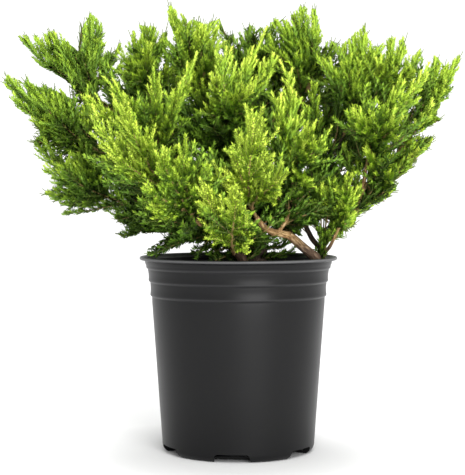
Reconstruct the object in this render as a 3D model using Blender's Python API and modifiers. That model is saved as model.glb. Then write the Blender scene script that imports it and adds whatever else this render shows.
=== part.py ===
"""A young spreading juniper in a black plastic nursery pot.

The pot stands on the origin and is filled with potting mix. Woody stems rise from the mix and
fork into boughs. A mass of foliage grows on from each bough's tip: plumes that fork from one
twig, each widening into a long toothed frond of scale needles with side sprays fused on.

Plant and pot sizes below are in millimetres, and MM turns them into Blender's metres.
"""

import math
import random

import bmesh
import bpy
from mathutils import Quaternion, Vector
from mathutils.bvhtree import BVHTree
from mathutils.geometry import interpolate_bezier

MM = 0.001
GAP = 0.3  # kept between pieces that touch
UP = Vector((0, 0, 1))
CROWN_HEART = Vector((0, 0, 190))

# ---------------------------------------------------------------- pot
POT_HEIGHT = 162.0
LIP_RADIUS = 82.5
LIP_DROP = 3.4  # height of the rolled lip
COLLAR_RADIUS = 77.9  # just under the lip
RING_HEIGHTS = (152.0, 141.0, 129.0)  # the three moulded steps of the collar
RING_RADII = (75.6, 74.8, 73.9)  # wall just above each step
RING_STEP = 0.9
BODY_TOP_RADIUS = 72.3
BODY_FOOT_RADIUS = 63.6
FOOT_ROUND = 6.0
WALL = 1.6
FLOOR = 2.4
INSIDE_TOP_RADIUS = COLLAR_RADIUS - 2 * WALL
INSIDE_TOP_DROP = 2.0  # the inside widens into the lip this far below the rim
INSIDE_FOOT_HEIGHT = 12.0  # the inside's foot corner starts here
POT_SIDES = 36

NOTCH_COUNT = 6
NOTCH_WIDTH = 27.5
NOTCH_HEIGHT = 6.7
NOTCH_INNER_RADIUS = 47.0
NOTCH_OUTER_RADIUS = 75.0
NOTCH_BEARING = 265.2  # degrees anticlockwise from +X, of the front notch
NOTCH_FLARE = 1.15  # width at the floor over width at the top

SOIL_TOP = 150.0
SOIL_CLEAR = 1.3  # from the pot's wall
SOIL_FOOT_HEIGHT = 14.0
SOIL_FOOT_RADIUS = NOTCH_INNER_RADIUS - 1
SOIL_SIDES = 24

# ---------------------------------------------------------------- woody limbs
STEM_FOOT = SOIL_TOP + GAP

# name: (way points, radius at the foot, radius at the tip)
STEMS = {
    "trunk": (
        ((17, 5, STEM_FOOT), (17, 5, 172), (10, 5, 202), (-8, 8, 246), (-28, 10, 284)), 7.2, 2.6),
    "left_stem": (
        ((4, -12, STEM_FOOT), (1, -22, 164), (-20, -40, 183), (-34, -55, 195), (-46, -67, 206)),
        4.4, 2.0),
    "right_low_foot": (
        ((61, -20, STEM_FOOT), (65, -22, 161), (55, -26, 173), (44, -30, 180.5)), 5.0, 4.4),
    "right_upright_stem": (
        ((66, -5, STEM_FOOT), (69, -7, 162), (70, -9, 174)), 3.3, 3.0),
    "back_stem": (
        ((12, 38, STEM_FOOT), (12, 39, 172), (8, 46, 215), (10, 50, 255), (10, 52, 293)), 5.6, 2.0),
}
FLARE = 0.4  # extra radius at the soil, as a share of the stem's own
FLARE_HEIGHT = 9.0
STRAIGHT_FOOT = 3.5  # a stem rises this far before it leans
STRAIGHT_JOIN = 1.5  # a bough that carries on from a stem's tip keeps its heading this far
STEM_STEPS = 3  # straight lengths between way points
BOUGH_STEPS = 2
SLEEVE_EASE = 1.03  # a parent limb's sleeve over the limb, beside the gap

# name: (parent, share of the way along it, way points after that, foot radius, tip radius)
BOUGHS = {
    "right_low_arm": ("right_low_foot", 1.0, ((32, -37, 183), (24, -45, 185), (19, -58, 196)), 4.3, 2.3),
    "right_long_bough": (
        "right_upright_stem", 1.0, ((83, -10, 188), (103, -8, 206), (122, -2, 232), (140, 5, 257)),
        2.6, 1.5),
    "top_right_bough": (
        "right_upright_stem", 0.72, ((60, -4, 179), (56, 0, 196), (68, 2, 230), (88, 0, 264)), 2.2, 1.5),
    "left_high_bough": ("trunk", 0.66, ((-60, 18, 258), (-103, 25, 283)), 2.2, 1.5),
    "left_far_bough": ("trunk", 0.42, ((-55, 5, 220), (-104, 0, 243)), 2.2, 1.5),
    "left_mid_bough": ("trunk", 0.25, ((-40, -2, 191), (-92, -10, 206)), 2.2, 1.5),
    "left_low_bough": ("trunk", 0.12, ((-14, 14, 176), (-46, 15, 189)), 2.2, 1.5),
    "top_left_bough": ("trunk", 0.72, ((-45, 15, 266), (-67, 20, 283)), 2.0, 1.5),
    "centre_bough": ("trunk", 0.58, ((-8, -6, 246), (-9, -18, 256)), 1.9, 1.5),
    "front_left_high_bough": ("left_stem", 0.62, ((-40, -46, 206), (-55, -46, 228)), 2.0, 1.5),
    "front_left_low_bough": ("left_stem", 0.66, ((-30, -64, 190), (-34, -80, 195)), 1.9, 1.5),
    "front_low_bough": ("left_stem", 0.3, ((-4, -44, 166), (-4, -68, 171)), 1.9, 1.4),
    "front_right_side_bough": ("right_low_arm", 0.25, ((40, -38, 196), (43, -40, 212)), 1.9, 1.5),
    "right_high_bough": ("right_long_bough", 0.5, ((110, -2, 240), (118, 12, 270)), 1.7, 1.4),
    "right_front_bough": ("right_long_bough", 0.34, ((102, -16, 216), (104, -26, 236)), 1.7, 1.4),
    "right_low_bough": ("right_long_bough", 0.2, ((100, -8, 202), (112, -6, 212)), 1.6, 1.3),
    "right_foot_bough": ("right_upright_stem", 0.55, ((75, -15, 170), (80, -21, 181)), 1.6, 1.3),
    "top_peak_bough": ("back_stem", 0.8, ((32, 42, 272), (52, 33, 290)), 2.0, 1.5),
}

# The far side has two tiers of boughs off the back stem, fanned by bearing.
# tier: (share of the way up the back stem, root reach, root height, tip reach, tip height)
BACK_TIERS = {
    "high": (0.55, 84.0, 258.0, 150.0, 326.0),
    "low": (0.25, 80.0, 203.0, 158.0, 232.0),
}
# side: (bearing in degrees, how much further up the back stem its bough leaves)
BACK_SIDES = {"left": (132.0, 0.0), "middle": (89.0, -0.09), "right": (48.0, 0.09)}
BACK_FAN = 19.0  # degrees between a far mass's plumes
BACK_LIFTS = (-12.0, 10.0, -26.0)  # height of each plume's tip against its tier's
BACK_HALF_WIDTH = 12.0
BACK_BOUGH_RADII = (2.0, 1.5)
BACK_BOUGH_BEND = (0.55, 0.45, 24.0, -14.0)  # share of the root's x and of its y, extra y, drop

# ---------------------------------------------------------------- foliage
# mass: (bough that carries it, plumes as (tip x, tip y, tip z, half width))
MASSES = {
    "left_high_mass": ("left_high_bough", (
        (-189, 45, 351, 16), (-162, 35, 355, 10), (-131, 60, 372, 13), (-107, 75, 347, 9))),
    "left_far_mass": ("left_far_bough", (
        (-196, 5, 312, 16), (-160, -30, 288, 11), (-154, 20, 309, 11), (-178, -15, 276, 9))),
    "left_mid_mass": ("left_mid_bough", (
        (-171, -5, 258, 14), (-142, -40, 237, 12), (-150, 20, 267, 12), (-167, 10, 217, 10))),
    "left_low_mass": ("left_low_bough", (
        (-108, 30, 179, 10), (-80, 5, 165, 6), (-154, 25, 196, 6), (-131, 5, 202, 11))),
    "top_left_mass": ("top_left_bough", (
        (-81, 25, 360, 14), (-75, -15, 334, 11), (-63, 55, 359, 9))),
    "top_tall_mass": ("trunk", (
        (-58, 20, 375, 12), (-36, 30, 367, 10), (-20, -15, 332, 11))),
    "top_back_mass": ("back_stem", (
        (9, 65, 363, 12), (-17, 70, 369, 11), (34, 50, 368, 11))),
    "top_peak_mass": ("top_peak_bough", (
        (54, 35, 376, 13), (67, 45, 375, 9), (83, 25, 347, 10))),
    "top_right_mass": ("top_right_bough", (
        (107, 10, 356, 14), (89, -26, 323, 11), (73, -18, 321, 10))),
    "right_high_mass": ("right_high_bough", (
        (129, 15, 346, 11), (157, 30, 338, 9), (117, -10, 324, 9))),
    "right_far_mass": ("right_long_bough", (
        (187, 10, 331, 10), (170, 25, 330, 10), (179, 15, 292, 7))),
    "right_front_mass": ("right_front_bough", (
        (150, -40, 312, 11), (128, -55, 302, 11), (124, -70, 271, 11), (90, -75, 277, 13))),
    "right_low_mass": ("right_low_bough", (
        (162, -5, 261, 8), (147, 5, 240, 8), (132, 12, 215, 8), (103, -55, 244, 10))),
    "right_foot_mass": ("right_foot_bough", (
        (87, -60, 229, 10), (65, -46, 222, 8), (101, 0, 192, 6), (92, 14, 179, 6))),
    "front_left_high_mass": ("front_left_high_bough", (
        (-65, -80, 300, 12), (-39, -40, 315, 10), (-118, -85, 290, 10), (-97, -80, 299, 10))),
    "front_left_bright_mass": ("left_stem", (
        (-86, -135, 279, 14), (-107, -120, 268, 11), (-95, -115, 247, 10))),
    "front_left_low_mass": ("front_left_low_bough", (
        (-41, -140, 248, 11), (-57, -150, 244, 10), (-69, -130, 212, 8), (-22, -110, 237, 7))),
    "front_low_mass": ("front_low_bough", (
        (-26, -130, 221, 12), (-2, -145, 219, 11), (9, -92, 178, 6))),
    "front_right_mass": ("right_low_arm", (
        (11, -135, 272, 16), (33, -120, 230, 11), (-3, -115, 247, 9))),
    "front_right_side_mass": ("front_right_side_bough", (
        (30, -80, 288, 11), (40, -50, 312, 11), (60, -80, 265, 11), (54, -80, 222, 8))),
    "centre_mass": ("centre_bough", (
        (-13, -30, 326, 12), (12, -30, 329, 12), (-6, -62, 303, 11))),
}

# A mass's first plume grows straight from its stem, and the others fork off that plume's axis.
FIRST_KNUCKLE = 0.03  # share of the first plume's axis below the first fork
KNUCKLE_STEP = 0.035  # and from one fork to the next
FORK_SLIMNESS = 0.8  # radius of a forking twig over the first one's
HEADING_HOLD = 0.3  # how far a plume keeps its bough's heading, as a share of its span
TIP_HOLD = 0.35  # how far its tip keeps its own heading
TIP_RISE = 0.3  # how far a plume's tip turns towards the sky
PLUME_STEPS = 9
FACING_SHARE = 0.7  # place on the axis that the frond's outward side is taken from

# A plume is a slender twig that widens into a frond: a long toothed blade that follows its axis.
TWIG_SHARES = (0.0, 0.26)  # places on the axis where the bare twig is drawn
TWIG_RADII = (1.5, 1.2)
FROND_START = 0.36  # shares of the axis at a frond's first and last notches
FROND_LAST = 0.93
FROND_FULLNESS = 1.9  # width of a frond over that of its plume
FROND_ROLLS = (25, -35, 10, -60, 50, -10, 80, 35, -20, 65)  # degrees from facing outward, tried in turn
FROND_SLIMMING = 0.88  # each further try is this much narrower
TOOTH_SPACING = 20.0
TOOTH_SWEEP = 0.45  # how far a tooth leans towards the tip, as a share of its reach
TOOTH_SETBACK = 0.35  # how far behind its notch a tooth starts, as a share of the spacing
NOTCH_DEPTH = 0.36  # half width at a notch over that at a tooth
FROND_THICKNESS = 1.3
FROND_THINNING = 1.3  # thickness falls with the share of the axis, from this much at its root

# Side sprays stand out of the twig on both faces of the frond.
SPRAY_SHARES = (0.3, 0.18)  # places on the axis
SPRAY_LEAST = (9.5, 14.5)  # half widths from which a plume has one side spray, and both
SPRAY_TURNS = (95, -85)  # degrees round the axis from the frond's side
SPRAY_ANGLE = math.radians(32)
SPRAY_LENGTH = 3.2  # over the plume's half width
SPRAY_ROOT = 0.5  # sunk past the twig's middle
SPRAY_WIDTH = 0.3  # half width of a side spray, as a share of its length
# one side's tooth and the notch above it: (share of the length, share of the half width)
SPRAY_TEETH = ((0.58, 1.0), (0.6, 0.42))
SPRAY_RIDGE = 0.3  # share of the length where a spray is thickest
SPRAY_THICKNESS = 0.06  # as a share of the spray's length
TRIES = 30  # ways tried for a plume's axis
TRY_REACH = 0.8  # how much further each try sways
SEED = 11

# Daylight shows through the crown along these lines, from a viewer standing in front.
EYE = Vector((0, -1128, 215))
# where the line crosses the plane y = 0, and the radius kept clear there
DAYLIGHT = ((90, 232, 6), (77, 218, 5), (62, 192, 5), (-123, 255, 4), (-26, 182, 3))

# ---------------------------------------------------------------- colours
COLOURS = {
    "black_plastic": ((0.018, 0.018, 0.019), 0.42),
    "potting_mix": ((0.045, 0.03, 0.02), 0.95),
    "bark": ((0.16, 0.09, 0.055), 0.85),
    "foliage_shade": ((0.03, 0.09, 0.025), 0.6),
    "foliage_light": ((0.2, 0.38, 0.05), 0.55),
}
LIGHT_MASSES = ("front_left_bright_mass", "front_left_low_mass", "front_low_mass",
                "front_right_mass", "front_right_side_mass", "front_left_high_mass")


def clear_scene():
    for thing in list(bpy.data.objects):
        bpy.data.objects.remove(thing, do_unlink=True)


def new_collection(name):
    collection = bpy.data.collections.new(name)
    bpy.context.scene.collection.children.link(collection)
    return collection


def material(name):
    made = bpy.data.materials.get(name)
    if made:
        return made
    colour, roughness = COLOURS[name]
    made = bpy.data.materials.new(name)
    made.use_nodes = True
    shader = made.node_tree.nodes["Principled BSDF"]
    shader.inputs["Base Color"].default_value = (*colour, 1)
    shader.inputs["Roughness"].default_value = roughness
    made.diffuse_color = (*colour, 1)
    return made


def add_object(name, data, collection, material_name=None):
    made = bpy.data.objects.new(name, data)
    collection.objects.link(made)
    if material_name:
        data.materials.clear()
        data.materials.append(material(material_name))
    return made


def mesh_from(name, points, faces):
    """A mesh in metres from points in millimetres."""
    mesh = bpy.data.meshes.new(name)
    mesh.from_pydata([Vector(point) * MM for point in points], [], faces)
    mesh.update()
    return mesh


def make_cutter(thing):
    thing.hide_render = True
    thing.display_type = "WIRE"
    return thing


def boolean(thing, operation, cutter=None, group=None, solver="EXACT"):
    modifier = thing.modifiers.new(operation.lower(), "BOOLEAN")
    modifier.operation = operation
    modifier.solver = solver
    if group:
        modifier.operand_type = "COLLECTION"
        modifier.collection = group
    else:
        modifier.object = cutter


def apply_modifiers(thing):
    graph = bpy.context.evaluated_depsgraph_get()
    mesh = bpy.data.meshes.new_from_object(thing.evaluated_get(graph))
    thing.modifiers.clear()
    thing.data = mesh


def remove_object(thing):
    bpy.data.objects.remove(thing, do_unlink=True)


# ---------------------------------------------------------------- pot and mix
def turned(name, profile, sides, collection, material_name):
    """A closed solid turned about Z from (radius, height) points, outer side first, top to bottom."""
    mesh = bpy.data.meshes.new(name)
    points = [(radius * MM, 0, height * MM) for radius, height in profile]
    mesh.from_pydata(points, [(i, i + 1) for i in range(len(points) - 1)], [])
    made = add_object(name, mesh, collection, material_name)
    screw = made.modifiers.new("turn", "SCREW")
    screw.steps = sides
    screw.render_steps = sides
    screw.use_merge_vertices = True
    screw.merge_threshold = 0.00001
    screw.use_smooth_shade = False
    return made


def lip_profile():
    """The rolled lip, from its inner edge over the top and round to its underside."""
    roll = LIP_DROP / 2
    middle = (LIP_RADIUS - roll, POT_HEIGHT - roll)
    turns = [math.radians(angle) for angle in (90, 30, -30, -90)]
    return [(middle[0] + roll * math.cos(a), middle[1] + roll * math.sin(a)) for a in turns]


def outer_wall():
    """Below the lip: the collar, its moulded steps, and the plain tapering body."""
    profile = [(COLLAR_RADIUS, POT_HEIGHT - LIP_DROP)]
    below = (*RING_RADII[1:], BODY_TOP_RADIUS)
    for height, above, next_radius in zip(RING_HEIGHTS, RING_RADII, below):
        step = min(RING_STEP, above - next_radius + RING_STEP / 2)
        profile += [(above, height + RING_STEP), (above - step, height)]
    corner = (BODY_FOOT_RADIUS - FOOT_ROUND, FOOT_ROUND)
    for angle in (0, -45, -90):
        a = math.radians(angle)
        profile.append((corner[0] + FOOT_ROUND * math.cos(a), corner[1] + FOOT_ROUND * math.sin(a)))
    return profile


def inner_radius(height):
    """The pot's inside, straight from the floor to the lip."""
    share = (height - FLOOR) / (POT_HEIGHT - FLOOR)
    foot = BODY_FOOT_RADIUS - WALL
    return foot + (INSIDE_TOP_RADIUS - foot) * share


def make_pot(parts, cutters):
    inside = [
        (0, FLOOR),
        (inner_radius(INSIDE_FOOT_HEIGHT) - FOOT_ROUND, FLOOR),
        (inner_radius(INSIDE_FOOT_HEIGHT), INSIDE_FOOT_HEIGHT),
        (inner_radius(POT_HEIGHT - INSIDE_TOP_DROP), POT_HEIGHT - INSIDE_TOP_DROP),
        (LIP_RADIUS - LIP_DROP, POT_HEIGHT),
    ]
    profile = inside + lip_profile() + outer_wall() + [(0, 0)]
    pot = turned("pot", profile, POT_SIDES, parts, "black_plastic")
    for index in range(NOTCH_COUNT):
        notch = make_notch(index, cutters)
        boolean(pot, "DIFFERENCE", notch)
    return pot


def make_notch(index, cutters):
    """A drainage notch: a radial channel through the foot's corner, wider at the floor."""
    bpy.ops.mesh.primitive_cube_add(size=1)
    notch = bpy.context.object
    notch.name = f"notch_{index + 1}"
    for vertex in notch.data.vertices:
        outward = NOTCH_OUTER_RADIUS if vertex.co.x > 0 else NOTCH_INNER_RADIUS
        top = vertex.co.z > 0
        half_width = NOTCH_WIDTH / 2 * (1 if top else NOTCH_FLARE)
        side = half_width if vertex.co.y > 0 else -half_width
        vertex.co = Vector((outward, side, NOTCH_HEIGHT if top else -NOTCH_HEIGHT)) * MM
    notch.rotation_euler.z = math.radians(NOTCH_BEARING + index * 360 / NOTCH_COUNT)
    for collection in list(notch.users_collection):
        collection.objects.unlink(notch)
    cutters.objects.link(notch)
    return make_cutter(notch)


def make_soil(parts):
    profile = [
        (0, SOIL_TOP),
        (inner_radius(SOIL_TOP) - SOIL_CLEAR, SOIL_TOP),
        (inner_radius(SOIL_FOOT_HEIGHT) - SOIL_CLEAR, SOIL_FOOT_HEIGHT),
        (SOIL_FOOT_RADIUS, FLOOR + GAP),
        (0, FLOOR + GAP),
    ]
    return turned("potting_mix", profile, SOIL_SIDES, parts, "potting_mix")


# ---------------------------------------------------------------- curves through the plant
def smooth_path(way_points, steps=STEM_STEPS):
    """Points along a curve that passes through every way point."""
    points = [Vector(point) for point in way_points]
    ends = [points[0] * 2 - points[1]] + points + [points[-1] * 2 - points[-2]]
    path = [points[0]]
    for before, start, end, after in zip(ends, ends[1:], ends[2:], ends[3:]):
        leave = start + (end - before) / 6
        arrive = end - (after - start) / 6
        path += interpolate_bezier(start, leave, arrive, end, steps + 1)[1:]
    return path


def point_along(path, share):
    """The place at this share of a path's length, and the path's heading there."""
    lengths = [(b - a).length for a, b in zip(path, path[1:])]
    left = share * sum(lengths)
    for a, b, length in zip(path, path[1:], lengths):
        if left < length:
            return a + (b - a) * (left / length), (b - a).normalized()
        left -= length
    return path[-1], (path[-1] - path[-2]).normalized()


def limb_object(name, path, radii, collection):
    """A tapering round limb: a bevelled curve made into a closed mesh."""
    curve = bpy.data.curves.new(name, "CURVE")
    curve.dimensions = "3D"
    curve.bevel_depth = MM
    curve.bevel_resolution = 1
    curve.use_fill_caps = True
    spline = curve.splines.new("POLY")
    spline.points.add(len(path) - 1)
    for point, place, radius in zip(spline.points, path, radii):
        point.co = (*(place * MM), 1)
        point.radius = radius
    drawn = add_object(name + "_curve", curve, collection)
    graph = bpy.context.evaluated_depsgraph_get()
    mesh = bpy.data.meshes.new_from_object(drawn.evaluated_get(graph))
    made = add_object(name, mesh, collection, "bark")
    made.matrix_world = drawn.matrix_world
    remove_object(drawn)
    weld(mesh)
    return made


def weld(mesh):
    shape = bmesh.new()
    shape.from_mesh(mesh)
    bmesh.ops.remove_doubles(shape, verts=shape.verts, dist=0.00002)
    bmesh.ops.recalc_face_normals(shape, faces=shape.faces)
    shape.to_mesh(mesh)
    shape.free()


def taper(path, foot, tip, flared=False):
    count = len(path) - 1
    radii = [foot + (tip - foot) * i / count for i in range(count + 1)]
    if flared:
        for i, point in enumerate(path):
            above = (point.z - STEM_FOOT) / FLARE_HEIGHT
            radii[i] *= 1 + FLARE * max(0, 1 - above) ** 2
    return radii


def stem_path(way_points):
    """A stem leaves the mix straight up, so its foot is a level cut."""
    path = smooth_path(way_points)
    lift = path[0] + UP * STRAIGHT_FOOT
    lean = path[1:] if (path[1] - lift).z > 1 else path[2:]
    return [path[0], lift] + lean


def back_boughs():
    """The far side's boughs, each from the back stem to its tier's root."""
    made = {}
    bend_x, bend_y, extra_y, drop = BACK_BOUGH_BEND
    for tier, (share, reach, height, _, _) in BACK_TIERS.items():
        for side, (bearing, further) in BACK_SIDES.items():
            turn = math.radians(bearing)
            root = (reach * math.cos(turn), reach * math.sin(turn), height)
            middle = (root[0] * bend_x, root[1] * bend_y + extra_y, height + drop)
            bough = ("back_stem", share + further, (middle, root), *BACK_BOUGH_RADII)
            made[f"back_{side}_{tier}_bough"] = bough
    return made


def back_masses():
    """The far side's masses, each three plumes fanned about its bough's bearing."""
    made = {}
    for tier, (_, _, _, reach, height) in BACK_TIERS.items():
        for side, (bearing, _) in BACK_SIDES.items():
            plumes = []
            for place, lift in enumerate(BACK_LIFTS):
                turn = math.radians(bearing + (place - 1) * BACK_FAN)
                tip = (reach * math.cos(turn), reach * math.sin(turn), height + lift)
                plumes.append((*tip, BACK_HALF_WIDTH))
            made[f"back_{side}_{tier}_mass"] = (f"back_{side}_{tier}_bough", plumes)
    return made


def make_limbs(parts, cutters):
    """Every stem and bough. Returns each one's path."""
    paths, sleeves = {}, {}
    for name, (way_points, foot, tip) in STEMS.items():
        paths[name] = stem_path(way_points)
        radii = taper(paths[name], foot, tip, flared=True)
        limb_object(name, paths[name], radii, parts)
        sleeves[name] = (paths[name], radii)
    for name, (parent, share, way_points, foot, tip) in (BOUGHS | back_boughs()).items():
        start, heading = point_along(paths[parent], share)
        if share == 1.0:
            start = start + heading * GAP
        path = smooth_path((start, *way_points), BOUGH_STEPS)
        if share == 1.0:
            path = [start, start + heading * STRAIGHT_JOIN] + path[1:]
        radii = taper(path, foot, tip)
        bough = limb_object(name, path, radii, parts)
        if share < 1.0:
            sleeve = make_sleeve(parent, sleeves[parent], cutters)
            boolean(bough, "DIFFERENCE", sleeve)
            apply_modifiers(bough)
        paths[name] = path
        sleeves[name] = (path, radii)
    return paths


def make_sleeve(parent, limb, cutters):
    """A parent limb grown by the gap, which shapes the foot of a bough that leaves its side."""
    name = parent + "_sleeve"
    if name in cutters.objects:
        return cutters.objects[name]
    path, radii = limb
    grown = [radius * SLEEVE_EASE + GAP for radius in radii]
    return make_cutter(limb_object(name, path, grown, cutters))


# ---------------------------------------------------------------- foliage
def across(heading):
    """Two directions square to a heading: a level one, and the one that faces up and outward."""
    level = heading.cross(UP)
    if level.length < 0.05:
        level = Vector((1, 0, 0))
    level.normalize()
    return level, level.cross(heading).normalized()


def tube(path, radii):
    """A closed three-sided twig, as points and faces."""
    points, faces = [], []
    steady, _ = across((path[-1] - path[0]).normalized())
    for i, (place, radius) in enumerate(zip(path, radii)):
        ahead = (path[min(i + 1, len(path) - 1)] - path[max(i - 1, 0)]).normalized()
        rise = steady.cross(ahead).normalized()
        level = ahead.cross(rise)
        for corner in range(3):
            turn = math.tau * corner / 3
            points.append(place + level * radius * math.cos(turn) + rise * radius * math.sin(turn))
    for i in range(len(path) - 1):
        for corner in range(3):
            a, b = 3 * i + corner, 3 * i + (corner + 1) % 3
            faces.append((a, b, b + 3, a + 3))
    last = 3 * (len(path) - 1)
    faces += [(2, 1, 0), (last, last + 1, last + 2)]
    return points, faces


def blade(root, heading, flat, length, half_width, margin=0.0):
    """A toothed spray of needles: a thin lens with a tooth on each side and a long point."""
    side = heading.cross(flat).normalized()
    thickness = SPRAY_THICKNESS * length / 2 + margin
    points = [root - heading * margin, root + heading * (length + margin)]
    for hand in (1, -1):
        for along, out in SPRAY_TEETH:
            reach = half_width * out + margin
            points.append(root + heading * length * along + side * reach * hand)
    middle = root + heading * length * SPRAY_RIDGE
    points += [middle + flat * thickness, middle - flat * thickness]
    loop = (0, 2, 3, 1, 5, 4)
    faces = []
    for a, b in zip(loop, loop[1:] + loop[:1]):
        faces += [(a, b, 6), (b, a, 7)]
    return points, faces


def plume_width(share):
    """A plume's half width along its axis, against its widest."""
    return 3.67 * (share - 0.12) ** 0.7 * (1 - share) ** 0.9


def plume_path(root, heading, tip, sway):
    span = (tip - root).length
    arrive = ((tip - root).normalized() + UP * TIP_RISE).normalized()
    leave = root + heading * span * HEADING_HOLD + sway
    return interpolate_bezier(root, leave, tip - arrive * span * TIP_HOLD, tip, PLUME_STEPS)


def on_twig(axis, share):
    """A place on the drawn twig, which is straight between its stations, and its heading there."""
    low, high = TWIG_SHARES if share < TWIG_SHARES[-1] else (TWIG_SHARES[-1], FROND_START)
    start, _ = point_along(axis, low)
    end, _ = point_along(axis, high)
    return start + (end - start) * (share - low) / (high - low), (end - start).normalized()


def tree_of(pieces):
    """A search tree over the faces of all these (points, faces) pieces, or None."""
    points, faces = [], []
    for some_points, some_faces in pieces:
        base = len(points)
        points += some_points
        faces += [tuple(index + base for index in face) for face in some_faces]
    return BVHTree.FromPolygons(points, faces) if faces else None


def touches(piece, tree):
    return bool(tree and tree_of([piece]).overlap(tree))


def in_daylight(points):
    """Whether any of these points lies in a line of daylight."""
    for point in points:
        scale = EYE.y / (EYE.y - point.y)
        x = EYE.x + (point.x - EYE.x) * scale
        z = EYE.z + (point.z - EYE.z) * scale
        if any(math.hypot(x - gap_x, z - gap_z) < radius for gap_x, gap_z, radius in DAYLIGHT):
            return True
    return False


def mesh_piece(thing):
    """An object's (points, faces) in millimetres."""
    points = [thing.matrix_world @ vertex.co / MM for vertex in thing.data.vertices]
    return points, [tuple(face.vertices) for face in thing.data.polygons]


def core_piece(axis, margin=0.0):
    """The whole axis as a slim tube, which keeps a way free for the twig and its frond."""
    return tube(axis, [TWIG_RADII[0] + margin] * len(axis))


def route_plumes(stem_foot, heading, plumes, taken, dice):
    """The plumes' axes, each swayed until its twig clears every other node, or else left out."""
    axes = []
    for place, (x, y, z, half_width) in enumerate(plumes):
        tip = Vector((x, y, z))
        knuckle, ahead = stem_foot, heading
        if axes:
            knuckle, ahead = on_twig(axes[0][0], FIRST_KNUCKLE + KNUCKLE_STEP * place)
        for attempt in range(TRIES):
            reach = attempt * TRY_REACH
            sway = Vector([dice.uniform(-reach, reach) for _ in range(3)])
            axis = plume_path(knuckle, ahead, tip, sway)
            if not touches(core_piece(axis, 2 * GAP), taken):
                axes.append((axis, half_width))
                break
    return axes


def outward_facing(axis):
    """Square to a plume's axis at its middle, and away from the crown's heart."""
    place, ahead = point_along(axis, FACING_SHARE)
    out = place - CROWN_HEART
    return (out - ahead * out.dot(ahead)).normalized()


def frond_stations(axis, half_width, slimness):
    """Up a plume's axis: (share, half width of the blade, half thickness, reach of a tooth or 0)."""
    stations = []
    for share, radius in zip(TWIG_SHARES, TWIG_RADII):
        stations.append((share, radius * slimness, radius * slimness, 0))
    length = sum((b - a).length for a, b in zip(axis, axis[1:])) * (FROND_LAST - FROND_START)
    teeth = max(3, round(length / TOOTH_SPACING))
    step = (FROND_LAST - FROND_START) / teeth
    for i in range(teeth + 1):
        share = FROND_START + step * i
        notch = half_width * plume_width(share) * NOTCH_DEPTH
        reach = half_width * plume_width(share - step / 2) if i else 0
        stations.append((share, notch, FROND_THICKNESS / 2 * (FROND_THINNING - share), reach))
    return stations


def frond(axis, half_width, facing, slimness, margin=0.0):
    """A plume's twig and its toothed blade as one closed shape with a ridge on both faces."""
    points, faces = [], [(0, 2, 1, 3)]
    before = None
    for share, notch, thickness, reach in frond_stations(axis, half_width, slimness):
        place, ahead = point_along(axis, share)
        side = facing.cross(ahead).normalized()
        lift = ahead.cross(side) * (thickness + margin)
        edge = side * (notch + margin)
        here = len(points)
        points += [place + lift, place - lift, place + edge, place - edge]
        if reach:
            swept = place + ahead * (reach * TOOTH_SWEEP - TOOTH_SPACING * TOOTH_SETBACK)
            points += [swept + side * (reach + margin), swept - side * (reach + margin)]
        if before is not None:
            for hand in (2, 3):
                for ridge in (0, 1):
                    rim = (here + hand, here + hand + 2, before + hand) if reach else (
                        here + hand, before + hand)
                    for corner, next_corner in zip((here + ridge, *rim), rim):
                        faces.append((before + ridge, corner, next_corner))
        before = here
    points.append(axis[-1] + (axis[-1] - axis[-2]).normalized() * margin)
    last = len(points) - 1
    faces += [(last, before + ridge, before + hand) for ridge in (0, 1) for hand in (2, 3)]
    return points, faces


def best_frond(axis, half_width, slimness, taken):
    """The widest frond of a few that keeps clear of every other node and of the daylight."""
    width = half_width * FROND_FULLNESS
    facing = outward_facing(axis)
    _, ahead = point_along(axis, FACING_SHARE)
    for roll in FROND_ROLLS:
        turned = facing.copy()
        turned.rotate(Quaternion(ahead, math.radians(roll)))
        grown = frond(axis, width, turned, slimness, margin=GAP)
        if not in_daylight(grown[0]) and not touches(grown, taken):
            return frond(axis, width, turned, slimness), turned
        width *= FROND_SLIMMING
    return frond(axis, TWIG_RADII[-1], facing, slimness), facing


def side_sprays(axis, half_width, facing):
    """Each side spray of a plume as (root, heading, flat side, length)."""
    wanted = sum(half_width >= least for least in SPRAY_LEAST)
    for share, turn in list(zip(SPRAY_SHARES, SPRAY_TURNS))[:wanted]:
        root, ahead = on_twig(axis, share)
        side = facing.cross(ahead).normalized()
        side.rotate(Quaternion(ahead, math.radians(turn)))
        heading = (ahead * math.cos(SPRAY_ANGLE) + side * math.sin(SPRAY_ANGLE)).normalized()
        flat = ahead.cross(side).cross(heading).normalized()
        yield root - heading * SPRAY_ROOT, heading, flat, half_width * SPRAY_LENGTH


def mass_pieces(axes, taken):
    """The closed pieces of one mass: its plumes and the side sprays on their twigs."""
    pieces = []
    for axis, half_width in axes:
        slimness = FORK_SLIMNESS if pieces else 1.0
        blade_along, facing = best_frond(axis, half_width, slimness, taken)
        pieces.append(blade_along)
        for root, ahead, flat, length in side_sprays(axis, half_width, facing):
            width = length * SPRAY_WIDTH
            grown = blade(root, ahead, flat, length, width, margin=GAP)
            if in_daylight(grown[0]) or touches(grown, taken):
                continue
            pieces.append(blade(root, ahead, flat, length, width))
    return pieces


def fuse(name, pieces, parts, material_name):
    """One closed mesh from overlapping closed pieces."""
    loose = new_collection(name + "_pieces")
    for index, (points, faces) in enumerate(pieces[1:]):
        mesh = mesh_from(f"{name}_{index}", points, faces)
        make_outward(mesh)
        add_object(f"{name}_{index}", mesh, loose)
    base = mesh_from(name, *pieces[0])
    make_outward(base)
    made = add_object(name, base, parts)
    boolean(made, "UNION", group=loose, solver="MANIFOLD")
    apply_modifiers(made)
    fill_hollows(made.data)
    made.data.materials.clear()
    made.data.materials.append(material(material_name))
    for thing in list(loose.objects):
        remove_object(thing)
    bpy.data.collections.remove(loose)
    return made


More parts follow.
